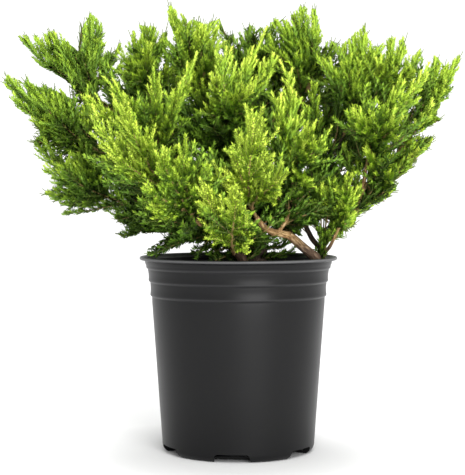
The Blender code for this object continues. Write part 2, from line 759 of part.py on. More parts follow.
def fill_hollows(mesh):
    """Removes the inside-out skins of hollows that the union sealed, and loose scraps."""
    shape = bmesh.new()
    shape.from_mesh(mesh)
    unseen = set(shape.verts)
    bodies = []
    while unseen:
        body, front = set(), [unseen.pop()]
        while front:
            vertex = front.pop()
            body.add(vertex)
            near = {edge.other_vert(vertex) for edge in vertex.link_edges} & unseen
            unseen -= near
            front += near
        bodies.append(body)
    largest = max(bodies, key=len)
    spare = [vertex for body in bodies if body is not largest for vertex in body]
    bmesh.ops.delete(shape, geom=spare, context="VERTS")
    shape.to_mesh(mesh)
    shape.free()


def make_outward(mesh):
    shape = bmesh.new()
    shape.from_mesh(mesh)
    bmesh.ops.recalc_face_normals(shape, faces=shape.faces)
    shape.to_mesh(mesh)
    shape.free()


def make_masses(parts, paths):
    dice = random.Random(SEED)
    woody = {thing.name: mesh_piece(thing) for thing in parts.objects}
    masses = MASSES | back_masses()
    feet, axes = {}, {}
    for name, (bough, _) in masses.items():
        path = paths[bough]
        heading = (path[-1] - path[-2]).normalized()
        feet[name] = (path[-1] + heading * GAP, heading)
    for name, (_, plumes) in masses.items():
        others = list(woody.values())
        others += [core_piece(axis) for other_axes in axes.values() for axis, _ in other_axes]
        axes[name] = route_plumes(*feet[name], plumes, tree_of(others), dice)
    pieces = {}
    for name in masses:
        others = list(woody.values())
        for other in masses:
            if other in pieces:
                others += pieces[other]
            elif other != name:
                others += [core_piece(axis) for axis, _ in axes[other]]
        pieces[name] = mass_pieces(axes[name], tree_of(others))
    for name in masses:
        shade = "foliage_light" if name in LIGHT_MASSES else "foliage_shade"
        fuse(name, pieces[name], parts, shade)


def main():
    clear_scene()
    parts = new_collection("potted_juniper")
    cutters = new_collection("cutters")
    make_pot(parts, cutters)
    make_soil(parts)
    paths = make_limbs(parts, cutters)
    make_masses(parts, paths)


main()
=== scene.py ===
"""A young spreading juniper in a black plastic nursery pot.

The limbs and plumes follow the solids' own rule, carried on to side shoots and scale needles. Plant
and pot sizes are in millimetres, and MM turns them into Blender's metres.
"""

import math

import bmesh
import bpy
import numpy as np
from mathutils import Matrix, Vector, noise
from mathutils.geometry import interpolate_bezier


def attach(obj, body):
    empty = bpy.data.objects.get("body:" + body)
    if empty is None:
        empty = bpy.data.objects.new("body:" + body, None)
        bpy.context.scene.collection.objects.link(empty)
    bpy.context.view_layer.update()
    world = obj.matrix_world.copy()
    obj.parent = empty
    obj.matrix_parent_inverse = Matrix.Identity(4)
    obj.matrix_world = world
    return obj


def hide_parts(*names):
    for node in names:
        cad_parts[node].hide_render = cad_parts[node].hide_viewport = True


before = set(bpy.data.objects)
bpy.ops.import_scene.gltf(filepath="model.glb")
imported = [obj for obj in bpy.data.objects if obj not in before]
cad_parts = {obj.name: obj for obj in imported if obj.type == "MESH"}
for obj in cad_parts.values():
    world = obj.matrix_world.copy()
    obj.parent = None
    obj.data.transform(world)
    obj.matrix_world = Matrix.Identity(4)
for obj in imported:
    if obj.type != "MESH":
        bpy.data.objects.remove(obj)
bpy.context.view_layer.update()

MM = 0.001
GAP = 0.3
UP = np.array((0.0, 0.0, 1.0))
CROWN_HEART = np.array((0.0, 0.0, 190.0))
SEED = 23

# ---------------- pot
POT_HEIGHT = 162.0
LIP_RADIUS = 82.5
LIP_DROP = 2.8
COLLAR_RADIUS = 77.9
RINGS = ((152.0, 77.0), (141.0, 75.0), (129.0, 73.6))  # height of each moulded step, wall above it
RING_STEP = 1.4
WALL_BOW = 0.35  # how hollow the wall between two steps is
BODY_TOP_RADIUS = 72.3
BODY_FOOT_RADIUS = 63.6
BODY_TOP = 124.0
FOOT_ROUND = 6.0
WALL = 1.6
FLOOR = 2.4
POT_SIDES = 160
SHARP = math.radians(40)
NOTCH_COUNT = 6
NOTCH_WIDTH = 27.5
NOTCH_HEIGHT = 6.7
NOTCH_INNER_RADIUS = 47.0
NOTCH_OUTER_RADIUS = 75.0
NOTCH_BEARING = 265.2
NOTCH_FLARE = 1.15
NOTCH_ROUND = 2.2
SOIL_TOP = 150.0
SOIL_RADIUS = 73.0
BED_RINGS = 26
BED_SIDES = 90
BED_LUMP = 1.6
BED_DROP = 0.6
BED_TURN = (0, 3, 2, 1)  # its faces run the other way round, to look up
# name of the chips: (how many, length of the longest)
CHIPS = {"dark_chips": (420, 11), "brown_chips": (380, 9), "tan_chips": (120, 7)}
MIX_TONES = {"mix_dark": (0.02, 0.013, 0.009), "mix_brown": (0.05, 0.028, 0.015),
             "mix_tan": (0.16, 0.09, 0.045)}

# The plastic's colours, and painted highlights along its lip and just above its steps.
BLACK = (0.0058, 0.0058, 0.0061)
RING_PAINTED_HIGHLIGHT = (0.022, 0.022, 0.023)
LIP_PAINTED_HIGHLIGHT = (0.095, 0.095, 0.097)
RING_HIGHLIGHT_RISE = 0.9  # its line of painted highlight is this far above a step
LIP_HIGHLIGHT_DROP = 1.2  # and this far under the rim's top
LIP_HIGHLIGHT_EDGE = (2.4, 1.2)  # how far in from the rim's edge the lip's painted highlight begins and is full
BELOW_RIM = 5.0  # the steps' painted highlights are kept to the wall at least this far under the rim's top
PLASTIC_ROUGHNESS = (0.3, 0.42)
TINT_SWING = 3.0  # how strongly the tint's noise swings its colour, whatever the surface

# ---------------- woody limbs
STEM_FOOT = SOIL_TOP + GAP

# name: (way points, radius at the foot, radius at the tip)
STEMS = {
    "trunk": (
        ((17, 5, STEM_FOOT), (17, 5, 172), (10, 5, 202), (-8, 8, 246), (-28, 10, 284)), 7.2, 2.6),
    "left_stem": (
        ((4, -12, STEM_FOOT), (1, -22, 164), (-20, -40, 183), (-34, -55, 195), (-46, -67, 206)),
        4.4, 2.0),
    "right_low_foot": (
        ((61, -20, STEM_FOOT), (64, -22, 160), (51, -26, 172), (41, -30, 180.5)), 4.4, 3.2),
    "right_upright_stem": (
        ((66, -5, STEM_FOOT), (69, -7, 162), (70, -9, 174)), 3.3, 3.0),
    "back_stem": (
        ((12, 38, STEM_FOOT), (12, 39, 172), (8, 46, 215), (10, 50, 255), (10, 52, 293)), 5.6, 2.0),
}
FLARE = 0.4
FLARE_HEIGHT = 9.0

# name: (parent, share of the way along it, way points after that, foot radius, tip radius)
BOUGHS = {
    "right_low_arm": ("right_low_foot", 1.0, ((29, -37, 183), (21, -45, 187), (14, -58, 196)), 3.2, 1.9),
    "right_long_bough": (
        "right_upright_stem", 1.0, ((83, -10, 188), (103, -8, 206), (122, -2, 232), (140, 5, 257)),
        2.6, 1.5),
    "top_right_bough": (
        "right_upright_stem", 0.72, ((60, -4, 179), (56, 0, 196), (68, 2, 230), (88, 0, 264)), 2.2, 1.5),
    "left_high_bough": ("trunk", 0.66, ((-60, 18, 258), (-103, 25, 283)), 2.2, 1.5),
    "left_far_bough": ("trunk", 0.42, ((-55, 5, 220), (-104, 0, 243)), 2.2, 1.5),
    "left_mid_bough": ("trunk", 0.25, ((-40, -2, 191), (-92, -10, 206)), 2.2, 1.5),
    "left_low_bough": ("trunk", 0.12, ((-14, 14, 176), (-46, 15, 189)), 2.2, 1.5),
    "top_left_bough": ("trunk", 0.72, ((-45, 15, 266), (-67, 20, 283)), 2.0, 1.5),
    "centre_bough": ("trunk", 0.58, ((-8, -6, 246), (-9, -18, 256)), 1.9, 1.5),
    "front_left_high_bough": ("left_stem", 0.62, ((-40, -46, 206), (-55, -46, 228)), 2.0, 1.5),
    "front_left_low_bough": ("left_stem", 0.66, ((-30, -64, 190), (-34, -80, 195)), 1.9, 1.5),
    "front_low_bough": ("left_stem", 0.3, ((-4, -44, 166), (-4, -68, 171)), 1.9, 1.4),
    "front_right_side_bough": ("right_low_arm", 0.25, ((40, -38, 196), (43, -40, 212)), 1.9, 1.5),
    "right_high_bough": ("right_long_bough", 0.5, ((110, -2, 240), (118, 12, 270)), 1.7, 1.4),
    "right_front_bough": ("right_long_bough", 0.34, ((102, -16, 216), (104, -26, 236)), 1.7, 1.4),
    "right_low_bough": ("right_long_bough", 0.2, ((100, -8, 202), (112, -6, 212)), 1.6, 1.3),
    "right_foot_bough": ("right_upright_stem", 0.55, ((75, -15, 170), (80, -21, 181)), 1.6, 1.3),
    "top_peak_bough": ("back_stem", 0.8, ((32, 42, 272), (52, 33, 290)), 2.0, 1.5),
}
# tier: (share of the way up the back stem, root reach, root height, tip reach, tip height)
BACK_TIERS = {
    "high": (0.55, 84.0, 258.0, 150.0, 326.0),
    "low": (0.25, 80.0, 203.0, 158.0, 232.0),
}
# side: (bearing in degrees, how much further up the back stem its bough leaves)
BACK_SIDES = {"left": (132.0, 0.0), "middle": (89.0, -0.09), "right": (48.0, 0.09)}
BACK_FAN = 19.0
BACK_LIFTS = (-12.0, 10.0, -26.0)
BACK_HALF_WIDTH = 13.0
BACK_BOUGH_RADII = (2.0, 1.5)
BACK_BOUGH_BEND = (0.55, 0.45, 24.0, -14.0)
GOLDEN_LIMBS = ("right_low_arm", "right_long_bough", "front_low_bough", "front_left_low_bough",
                "front_right_side_bough")
BROWN_LIMBS = ("right_low_foot", "right_upright_stem", "left_stem", "right_low_bough",
               "right_front_bough", "right_high_bough", "front_left_high_bough", "right_foot_bough")

# places and tones of dark, middle and light bark, and between which heights the brown ripens to golden
BARK_STOPS = (0.35, 0.62, 0.95)
GOLDEN_BARK = ((0.085, 0.044, 0.018), (0.33, 0.195, 0.078), (0.64, 0.46, 0.24))
BROWN_BARK = ((0.02, 0.012, 0.008), (0.075, 0.045, 0.027), (0.23, 0.16, 0.105))
SHADED_BARK = ((0.012, 0.008, 0.006), (0.036, 0.023, 0.015), (0.1, 0.066, 0.045))
RIPENS = (169.0, 184.0)
THICK_BARK = (22, 0.13)  # sides of a limb's skin, and how deep its ridges are for its radius
THIN_BARK = (12, 0.08)
BARK_STRIPS = (0.9, 0.22, 1)  # scale round the limb and along it
BARK_FLAKES = (0.45, 0.13, 1)

# ---------------- foliage
# mass: (bough that carries it, lightness, plumes as (tip x, tip y, tip z, half width))
# A mass's lightness is partly painted light and shade: higher for the masses in front, lower for those low in
# the crown.
MASSES = {
    "left_high_mass": ("left_high_bough", 0.38, (
        (-189, 45, 351, 16), (-162, 35, 355, 12), (-131, 60, 372, 15), (-107, 75, 347, 10),
        (-121, 60, 362, 11), (-176, 40, 350, 10), (-150, 45, 352, 11), (-137, 56, 364, 10),
        (-114, 60, 356, 10), (-166, 40, 352, 10))),
    "left_far_mass": ("left_far_bough", 0.36, (
        (-196, 5, 312, 16), (-160, -30, 288, 10), (-154, 20, 309, 10), (-178, -15, 276, 8),
        (-167, 10, 312, 9), (-180, 5, 310, 11), (-186, -8, 292, 10), (-158, 0, 308, 10),
        (-138, 8, 298, 10))),
    "left_mid_mass": ("left_mid_bough", 0.4, (
        (-171, -5, 258, 14), (-142, -40, 237, 10), (-150, 20, 267, 10), (-167, 10, 217, 8),
        (-115, -50, 238, 9), (-159, -5, 234, 9), (-126, 0, 290, 12))),
    "left_low_mass": ("left_low_bough", 0.16, (
        (-108, 30, 179, 8), (-80, 5, 165, 5), (-153, 0, 198, 6), (-131, 5, 202, 9))),
    "top_left_mass": ("top_left_bough", 0.5, (
        (-81, 25, 360, 14), (-75, -15, 334, 10), (-63, 55, 359, 8), (-90, 20, 353, 8),
        (-58, -2, 318, 10), (-72, 22, 358, 11), (-98, 30, 332, 11))),
    "top_tall_mass": ("trunk", 0.58, (
        (-58, 20, 375, 12), (-36, 30, 367, 11), (-20, -15, 332, 11), (-30, 22, 352, 11),
        (-45, 14, 364, 13), (-21, 26, 366, 12))),
    "top_back_mass": ("back_stem", 0.28, (
        (9, 65, 363, 11), (-17, 70, 369, 11), (34, 50, 368, 10), (28, 45, 342, 11),
        (62, 40, 338, 12), (30, 30, 322, 12), (66, 22, 316, 11))),
    "top_peak_mass": ("top_peak_bough", 0.42, (
        (54, 35, 376, 13), (67, 45, 375, 10), (83, 25, 347, 9), (26, 0, 338, 9), (39, 38, 362, 9),
        (46, 20, 345, 9), (34, 20, 356, 11), (45, 32, 374, 10))),
    "top_right_mass": ("top_right_bough", 0.5, (
        (107, 10, 356, 13), (89, -25, 323, 11), (74, -20, 321, 9), (89, 15, 340, 9),
        (113, 20, 340, 9), (96, 12, 354, 12), (120, 12, 342, 11),
        (72, 5, 322, 11))),
    "right_high_mass": ("right_high_bough", 0.54, (
        (129, 15, 346, 11), (157, 30, 338, 10), (117, -10, 324, 8), (141, 22, 346, 10),
        (142, 5, 318, 11))),
    "right_far_mass": ("right_long_bough", 0.46, (
        (187, 10, 331, 10), (170, 25, 330, 10), (181, 20, 296, 7), (172, 5, 278, 7),
        (180, 5, 318, 9), (178, 14, 330, 10))),
    "right_front_mass": ("right_front_bough", 0.58, (
        (150, -40, 312, 10), (128, -55, 302, 10), (124, -70, 271, 9), (87, -75, 277, 11),
        (107, -60, 272, 8))),
    "right_low_mass": ("right_low_bough", 0.68, (
        (162, -5, 261, 7), (147, 5, 242, 7), (118, -30, 250, 10),
        (103, -55, 244, 10), (118, -20, 222, 9), (98, -8, 266, 12))),
    "right_foot_mass": ("right_foot_bough", 0.74, (
        (87, -60, 229, 9), (65, -45, 221, 8), (100, 0, 191, 4), (94, 15, 179, 4), (96, -30, 214, 8))),
    "front_left_high_mass": ("front_left_high_bough", 0.6, (
        (-65, -80, 300, 10), (-48, -85, 292, 7), (-39, -40, 315, 10), (-118, -85, 290, 8),
        (-97, -80, 299, 8))),
    "front_left_bright_mass": ("left_stem", 0.78, (
        (-86, -135, 279, 13), (-107, -120, 268, 10), (-95, -115, 247, 9))),
    "front_left_low_mass": ("front_left_low_bough", 0.56, (
        (-41, -140, 248, 9), (-57, -150, 244, 8), (-69, -135, 219, 6), (-66, -120, 204, 5),
        (-22, -110, 237, 5))),
    "front_low_mass": ("front_low_bough", 0.96, (
        (-27, -130, 221, 7), (-1, -145, 219, 7), (9, -92, 178, 5))),
    "front_right_mass": ("right_low_arm", 0.97, (
        (11, -135, 272, 13), (33, -120, 230, 9), (-3, -115, 247, 8))),
    "front_right_side_mass": ("front_right_side_bough", 0.72, (
        (30, -80, 288, 10), (40, -50, 312, 10), (57, -85, 267, 9), (67, -65, 258, 8),
        (54, -80, 222, 7))),
    "centre_mass": ("centre_bough", 0.7, (
        (-13, -30, 326, 11), (12, -30, 329, 11), (-18, -60, 305, 8), (6, -65, 298, 8))),
}
# Sprays placed one by one: near the pot, along the long bough and where the crown would be open.
# (limb, sprays as (share of the way along it, tip x, tip y, tip z, half width, lightness))
# A low lightness is painted shade, for sprays under the crown and near the pot.
PLACED_SPRAYS = (
    ("left_mid_bough", ((0.97, -152, -8, 199, 4.5, 0.2),)),
    ("left_stem", ((0.55, -79, -38, 164, 5, 0.1), (0.35, -42, -30, 166, 6, 0.1))),
    ("trunk", (
        (0.1, 42, 4, 172, 9, 0.14), (0.05, 32, -6, 163, 8, 0.1), (0.14, 40, -8, 188, 9, 0.14),
        (0.2, 48, -2, 204, 9, 0.2), (0.07, -16, -24, 164, 8, 0.1), (0.1, -6, -26, 176, 9, 0.12))),
    ("right_upright_stem", (
        (0.85, 64, -42, 216, 10, 0.46), (0.8, 76, -50, 224, 10, 0.5), (0.95, 56, -16, 204, 9, 0.2),
        (0.95, 72, -14, 222, 10, 0.3))),
    ("trunk", ((0.2, 30, -10, 216, 9, 0.24), (0.22, 16, -14, 218, 9, 0.2))),
    ("left_stem", (
        (0.12, 8, -22, 188, 8, 0.14), (0.14, 16, -18, 200, 8, 0.16), (0.06, 24, -16, 174, 7, 0.12),
        (0.3, -6, -30, 206, 9, 0.16))),
    ("right_upright_stem", (
        (0.15, 84, -16, 186, 7, 0.45), (0.1, 67, -28, 186, 7, 0.4), (0.3, 78, -26, 190, 8, 0.5),
        (0.45, 72, -26, 198, 9, 0.5), (0.6, 88, -22, 200, 8, 0.55),
        (0.75, 84, -34, 216, 9, 0.55))),
    ("right_long_bough", (
        (0.25, 100, -22, 242, 11, 0.5), (0.3, 88, -18, 252, 11, 0.4),
        (0.02, 95, -8, 180, 3.5, 0.4), (0.08, 102, -4, 191, 4, 0.55),
        (0.22, 118, -8, 203, 4.5, 0.6), (0.3, 126, -4, 207, 4.5, 0.6),
        (0.36, 128, -20, 216, 5, 0.7), (0.42, 138, -4, 223, 4.5, 0.65),
        (0.5, 138, -26, 232, 6, 0.75), (0.56, 149, -2, 240, 5, 0.7),
        (0.62, 148, -22, 250, 6, 0.75), (0.7, 163, 4, 251, 4.5, 0.65), (0.78, 165, 2, 263, 5, 0.7),
        (0.86, 160, -8, 270, 5, 0.7), (0.9, 160, -20, 288, 7, 0.75), (0.95, 173, 6, 278, 4.5, 0.6),
        (0.12, 98, -26, 216, 10, 0.5), (0.1, 84, -12, 226, 9, 0.3))),
    ("front_right_side_bough", (
        (0.2, 62, -36, 212, 8, 0.34), (0.1, 24, -18, 206, 9, 0.2), (0.2, 54, -28, 192, 8, 0.2))),
    ("left_high_bough", ((0.85, -118, 40, 312, 9, 0.3),)),
    ("top_left_bough", ((0.6, -104, 24, 322, 9, 0.35),)),
    ("trunk", ((0.95, -20, 30, 356, 9, 0.45), (0.97, -33, 26, 364, 8, 0.5))),
    ("top_peak_bough", ((0.6, 38, 50, 354, 8, 0.35), (0.9, 70, 40, 354, 7, 0.35))),
    ("right_long_bough", ((0.9, 147, 16, 322, 9, 0.5),)),
    ("right_high_bough", ((0.7, 143, 14, 298, 9, 0.5),)),
    ("trunk", ((0.9, -43, -22, 314, 10, 0.5), (0.85, -30, -26, 300, 10, 0.45))),
    ("centre_bough", ((0.8, 30, -14, 328, 10, 0.55), (0.9, 20, -30, 316, 9, 0.6))),
    ("top_right_bough", ((0.5, 62, -24, 304, 10, 0.55), (0.45, 54, -30, 286, 9, 0.5))),
    ("left_stem", ((0.5, -36, -50, 165, 7, 0.2), (0.3, -24, -50, 168, 7, 0.2))),
    ("trunk", ((0.03, 48, 2, 168, 8, 0.14),)),
    ("back_stem", ((0.08, 42, 22, 172, 9, 0.1),)),
    ("top_right_bough", ((0.2, 64, -6, 208, 9, 0.2), (0.12, 44, 4, 196, 8, 0.14))),
)
BACK_LIGHTNESS = 0.4
FIRST_KNUCKLE = 0.03
KNUCKLE_STEP = 0.035
PLUME_BREADTH = 1.15  # a plume's half width over the one given
HEADING_HOLD = 0.3
TIP_HOLD = 0.35
TIP_RISE = 0.3

# A plume's axis carries side shoots, and a side shoot carries scale needles.
TIP_TRIM = 5.0  # a plume's axis stops this far short of its tip, which needles fill
TIP_TRIM_MOST = 0.3  # but at most this share of its length
SHOOT_FIRST = 0.12  # shares of the axis between which side shoots leave it
SHOOT_LAST = 0.985
SHOOT_CROWDING = 1.15  # over 1 crowds them towards the tip
SHOOT_ANGLES = (48.0, 30.0)  # degrees off the axis, at its root and at its tip
SHOOT_ANGLE_SPREAD = (7.0, -11.0, 16.0)  # deviation, least and most that one differs from that
SHOOT_LENGTHS = (0.6, 1.08)  # shares of the length that would reach the plume's side
SHOOT_BEND = (0.2, 0.14, -0.08, 0.1)  # along the axis, upward, outward, and how that varies
SHOOT_FLATNESS = 0.58  # a plume's depth over its width
SHOOT_STRONG = 1.12  # every fourth shoot is this much longer
SHOOT_LEAST = 6.0
SHOOT_PARTS = (0.4, 0.6, 0.8, 1.0)  # a shoot that would pass the crown's edge is cut back to one of these
SHOOT_LIGHT = (0.34, 0.52, 0.13, 0.07, 0.035)  # towards the tip and from where, painted light on shoots facing up and outward, varying
SHOOT_DEPTH = 0.7  # a shoot's depth over its width
NEEDLE_ANGLES = (45.0, 42.0)  # off the shoot, at its root and at its tip
NEEDLE_ANGLE_SPREAD = 5.0
NEEDLE_LENGTHS = (0.75, 1.2)
NEEDLE_LIGHT = (0.5, 0.06, 0.03)  # lighter towards the tip, painted light on needles facing up, and varying
NEEDLE_CURL = 0.12  # how far its tip lifts, for its length
NEEDLE_BREADTHS = (0.85, 1.15)
LEADER_LIGHTER = 0.22  # the needle at a shoot's end
AXIS_NEEDLES_FROM = 0.2
AXIS_NEEDLE_ANGLES = (20, 40)
AXIS_NEEDLE_LENGTHS = (0.8, 1.15)
AXIS_LIGHT = (-0.1, 0.6, 0.6, 0.05)  # against the plume's, towards the tip and from where, varying
AXIS_TIP_LIGHTER = 0.25
GOLDEN_ANGLE = math.radians(137.5)
# by rank, the masses' own plumes, their side plumes, the shaded ones and those that fill the crown:
# pitch of side shoots, pitch of needles, their lengths at a shoot's root and tip, half width
RANKS = (
    (2.8, 0.27, (3.8, 3.5), 0.66),
    (3.1, 0.3, (3.8, 3.5), 0.68),
    (4.0, 0.75, (5.4, 4.8), 1.0),
    (3.4, 0.52, (4.6, 4.2), 0.86),
)

# radius at the root and at the tip of the twigs and shoots
OWN_TWIG = (1.5, 0.4)
LESSER_TWIG = (0.85, 0.35)
LIT_SHOOT = (0.5, 0.3)
SHADED_SHOOT = (0.55, 0.4)

# Side plumes leave a plume's axis on alternate sides: (share of the axis, length over the rest of it)
SIDE_PLUMES = ((0.13, 0.46), (0.25, 0.5), (0.38, 0.5), (0.52, 0.5), (0.66, 0.55))
SIDE_PLUME_SHIFT = 0.04
SIDE_PLUME_ANGLE = 35.0
SIDE_PLUME_ANGLE_SPREAD = 7
SIDE_PLUME_RISE = 0.12
SIDE_PLUME_WIDTH = 0.66
SIDE_PLUME_LEAST = 7.0
SIDE_PLUME_DARKER = 0.07
# Shaded plumes leave the boughs themselves,
BARE_LIMBS = ("right_low_foot", "right_low_arm", "right_upright_stem")
SHADED_PITCH = 9.0
SHADED_FIRST = {"trunk": 0.25, "back_stem": 0.2, "left_stem": 0.5, "right_long_bough": 0.15}
SHADED_REACH = (48.0, 74.0)
SHADED_WIDTH = 12.0
SHADED_LIGHT = 0.08
SHADED_ANGLES = (38, 62)
# and a plume's axis on its inner side, as (share of the axis, length over the rest of it).
SHADED_BEHIND = ((0.06, 0.62), (0.24, 0.72))
SHADED_BEHIND_ANGLES = (20, 38)
SHADED_BEHIND_DARKER = 0.25
SHADED_BEHIND_LIGHT = 0.3  # the most it is
# The crown's back, top and middle are filled with plumes spaced evenly about its heart.
FILL_COUNT = 250
FILL_DOWN_TO = 1.15  # how far down a ball of radius 1 they reach from its top
FILL_FRONT = -0.12  # those pointing to a y below this are in front
FILL_SPACING = 7.0  # degrees a filling plume keeps from the masses' own
FILL_BLUR = math.radians(20)
FILL_AIM = 1.5  # how much more it heads for its tip than along its bough
FILL_BEND_COST = 60.0
FILL_SHORT_COST = 4.0
FILL_REACH = (0.72, 0.93)  # of the reach of the masses' plumes around it
FILL_REACH_IN_FRONT = (0.5, 0.66)
FILL_LEAST = 48.0
FILL_WIDTH = 12.0
FILL_LIGHT = 0.38
# Filling plumes in front sit behind the masses' own and are painted darker as shade.
FILL_LIGHT_IN_FRONT = 0.16
# least share of an axis that has to be left inside the crown's edge
LEAST_LEFT = {"own": 0.2, "placed": 0.3, "side": 0.4, "shaded": 0.4, "filling": 0.3}

EYE = np.array((0.0, -1128.0, 215.0))
AXIS_SLACK = 1.2  # a plume's axis ends this far inside the crown's edge
EDGE_SLACK = (0.5, 4.0)  # and a side shoot this far
EDGE_REACH = 2.2  # while needles pass it by no more than this
# The crown's edge as seen from in front: (x, height) where a line of sight crosses y = 0.
CROWN_EDGE = (
    (-57, 374), (-45, 364), (-28, 358), (-16, 362), (-10, 347), (-1, 351), (9, 357), (24, 355),
    (31, 363), (40, 361), (52, 373), (65, 370), (72, 348), (86, 340), (106, 357), (110, 344),
    (118, 338), (127, 347), (139, 347), (144, 331), (153, 337), (156, 328), (166, 332), (173, 322),
    (185, 333), (188, 324), (186, 313), (183, 304), (181, 295), (172, 291), (168, 285), (167, 280),
    (173, 277), (161, 272), (160, 268), (146, 263), (165, 263), (163, 250), (148, 244), (147, 236),
    (130, 226), (136, 220), (122, 207), (103, 197), (99, 189), (88, 181), (91, 178), (77, 173),
    (74, 152), (-78, 152), (-80, 166), (-58, 181), (-80, 181), (-97, 175), (-104, 180), (-98, 188),
    (-112, 199), (-127, 198), (-147, 193), (-152, 197), (-145, 202), (-167, 214), (-158, 223),
    (-165, 230), (-171, 244), (-174, 257), (-168, 267), (-190, 290), (-199, 309), (-194, 316),
    (-182, 308), (-177, 316), (-168, 305), (-162, 308), (-157, 302), (-152, 307), (-149, 302),
    (-143, 297), (-140, 292), (-138, 300), (-141, 306), (-148, 312), (-161, 317), (-174, 328),
    (-186, 348), (-166, 348), (-158, 352), (-149, 350), (-140, 339), (-133, 333), (-131, 355),
    (-125, 367), (-117, 362), (-110, 350), (-111, 336), (-105, 331), (-100, 342), (-92, 343),
    (-87, 357), (-71, 356), (-65, 350), (-58, 352), (-54, 345), (-58, 356), (-62, 367))
# Foliage before ARM_SHOWS_FROM keeps clear of the golden arm's front, and all of it keeps clear of
# some gaps of daylight: (x, height, radius), seen the same way.
ARM_SHOWS = ((9.7, 203, 3.2), (14.7, 195, 3.8), (21.4, 187, 4.2), (28, 182.5, 4.2), (35, 181.5, 4.2),
             (41.5, 179, 4.8), (48, 174, 5), (54, 168, 5), (60, 162, 5))
ARM_SHOWS_FROM = -17.0
DAYLIGHT = ((59, 182, 6), (56, 172, 5), (72, 190, 4), (88, 233, 3), (-45, 166, 4), (-55, 163, 3))

# Nothing grows into the band of the pot's rim, down before it or into the mix.
RIM_BAND = (73.0, 84.5)
RIM_CLEAR = 164.0
BEFORE_POT = -70.0
BEFORE_POT_CLEAR = 167.0
MIX_CLEAR = 152.5

# Foliage is lighter further out from the crown's heart than its middle reach, and darker nearer in: partly
# the inner foliage's own darker colour, partly painted light and shade.
REACH_WEIGHTS = (0.8, 1.0, 1.0)
MIDDLE_REACH = 95.0
REACH_SPAN = 70.0
REACH_LIGHTER = 0.22
REACH_LIMITS = (-1.3, 0.6)
MOST_TRIANGLES = 190000  # in one piece

# shade: (least lightness, base colour)
SHADES = {
    "tip": (1.02, (0.535, 0.69, 0.075)),
    "lime": (0.88, (0.43, 0.6, 0.05)),
    "bright": (0.74, (0.332, 0.505, 0.034)),
    "leaf": (0.6, (0.255, 0.412, 0.03)),
    "green": (0.46, (0.182, 0.32, 0.025)),
    "dull": (0.32, (0.13, 0.248, 0.02)),
    "deep": (0.17, (0.083, 0.17, 0.011)),
    "shade": (-9.0, (0.036, 0.08, 0.003)),
}
LIT_SHADES = ("tip", "lime", "bright", "leaf")
TWIG_TONE = (0.22, 0.15, 0.055)
SHOOT_TONE = (0.12, 0.17, 0.03)

# ---------------- studio settings, in metres
FLOOR_HALF = 90.0
FLOOR_SHADE_HEART = (0.0, -0.045, 0.0)
FLOOR_SHADE_REACH = (0.05, 0.18)  # painted contact shadow: the floor's colour is darker near the pot's foot, and pales between these
FLOOR_TONES = ((0.0, 0.6), (0.25, 0.66), (1.0, 0.975))
AIR_STRENGTH = 1.2
# name: (place, what it aims at, size, power)
LAMPS = {
    "key": ((0.2, -1.3, 1.5), (0, 0, 0.25), 0.7, 20),
    "fill": ((0.55, -1.5, 0.25), (0, 0, 0.15), 1.0, 27),
}
SENSOR = 36
LENS = 102.3
LOOKS_DOWN = 1.9  # degrees
LOOKS_LEFT = 0.25


# ---------------- mesh helpers
def new_object(name, data):
    made = bpy.data.objects.new(name, data)
    bpy.context.scene.collection.objects.link(made)
    return made


def piece(name, mesh, slot_name, *nodes):
    made = new_object(name, mesh)
    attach(made, "root")
    if nodes:
        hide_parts(*nodes)
    return made


def mesh_of(name, points, faces, smooth=False):
    """A mesh in metres from arrays of points in millimetres and of equal-sided faces."""
    points = np.asarray(points, np.float32).reshape(-1, 3) * MM
    faces = np.asarray(faces, np.int32)
    sides = faces.shape[1]
    mesh = bpy.data.meshes.new(name)
    mesh.vertices.add(len(points))
    mesh.vertices.foreach_set("co", points.ravel())
    mesh.loops.add(faces.size)
    mesh.loops.foreach_set("vertex_index", faces.ravel())
    mesh.polygons.add(len(faces))
    mesh.polygons.foreach_set("loop_start", np.arange(0, faces.size, sides, dtype=np.int32))
    mesh.polygons.foreach_set("use_smooth", np.full(len(faces), smooth))
    mesh.update(calc_edges=True)
    return mesh


def ring_quads(rows, sides, closed):
    """Faces between rows of points, whose last meets its first where the rings are closed."""
    width = sides if closed else sides + 1
    quads = []
    for row in range(rows - 1):
        for corner in range(sides):
            a, b = row * width + corner, row * width + (corner + 1) % width
            quads.append((a, b, b + width, a + width))
    return quads


def joined(parts):
    """Several lots of (points, faces) as one."""
    starts = np.cumsum([0] + [len(points) for points, _ in parts])
    return (np.concatenate([points for points, _ in parts]),
            np.concatenate([np.asarray(faces) + start for (_, faces), start in zip(parts, starts)]))


def repeated(faces, count, each):
    """The faces of one thing for a count of them, whose points follow each other by so many."""
    faces = np.asarray(faces)
    return ((np.arange(count) * each)[:, None, None] + faces[None]).reshape(-1, faces.shape[1])


def unit(vectors):
    return vectors / np.maximum(np.linalg.norm(vectors, axis=-1, keepdims=True), 1e-9)


def between(pair, share):
    """The value this share of the way from a pair's first to its second."""
    return pair[0] + (pair[1] - pair[0]) * share


def turned_to(first, second, angle):
    """Directions between the first and the second, by so many radians from the first."""
    if np.ndim(angle):
        angle = angle[:, None]
    return first * np.cos(angle) + second * np.sin(angle)


# ---------------- shader helpers
def new_group(name, inputs, outputs):
    """A node group with (name, kind, default) inputs and (name, kind) outputs."""
    tree = bpy.data.node_groups.new(name, "ShaderNodeTree")
    for label, kind, default in inputs:
        socket = tree.interface.new_socket(label, in_out="INPUT", socket_type="NodeSocket" + kind)
        socket.default_value = default
    for label, kind in outputs:
        tree.interface.new_socket(label, in_out="OUTPUT", socket_type="NodeSocket" + kind)
    return tree, tree.nodes.new("NodeGroupInput"), tree.nodes.new("NodeGroupOutput")


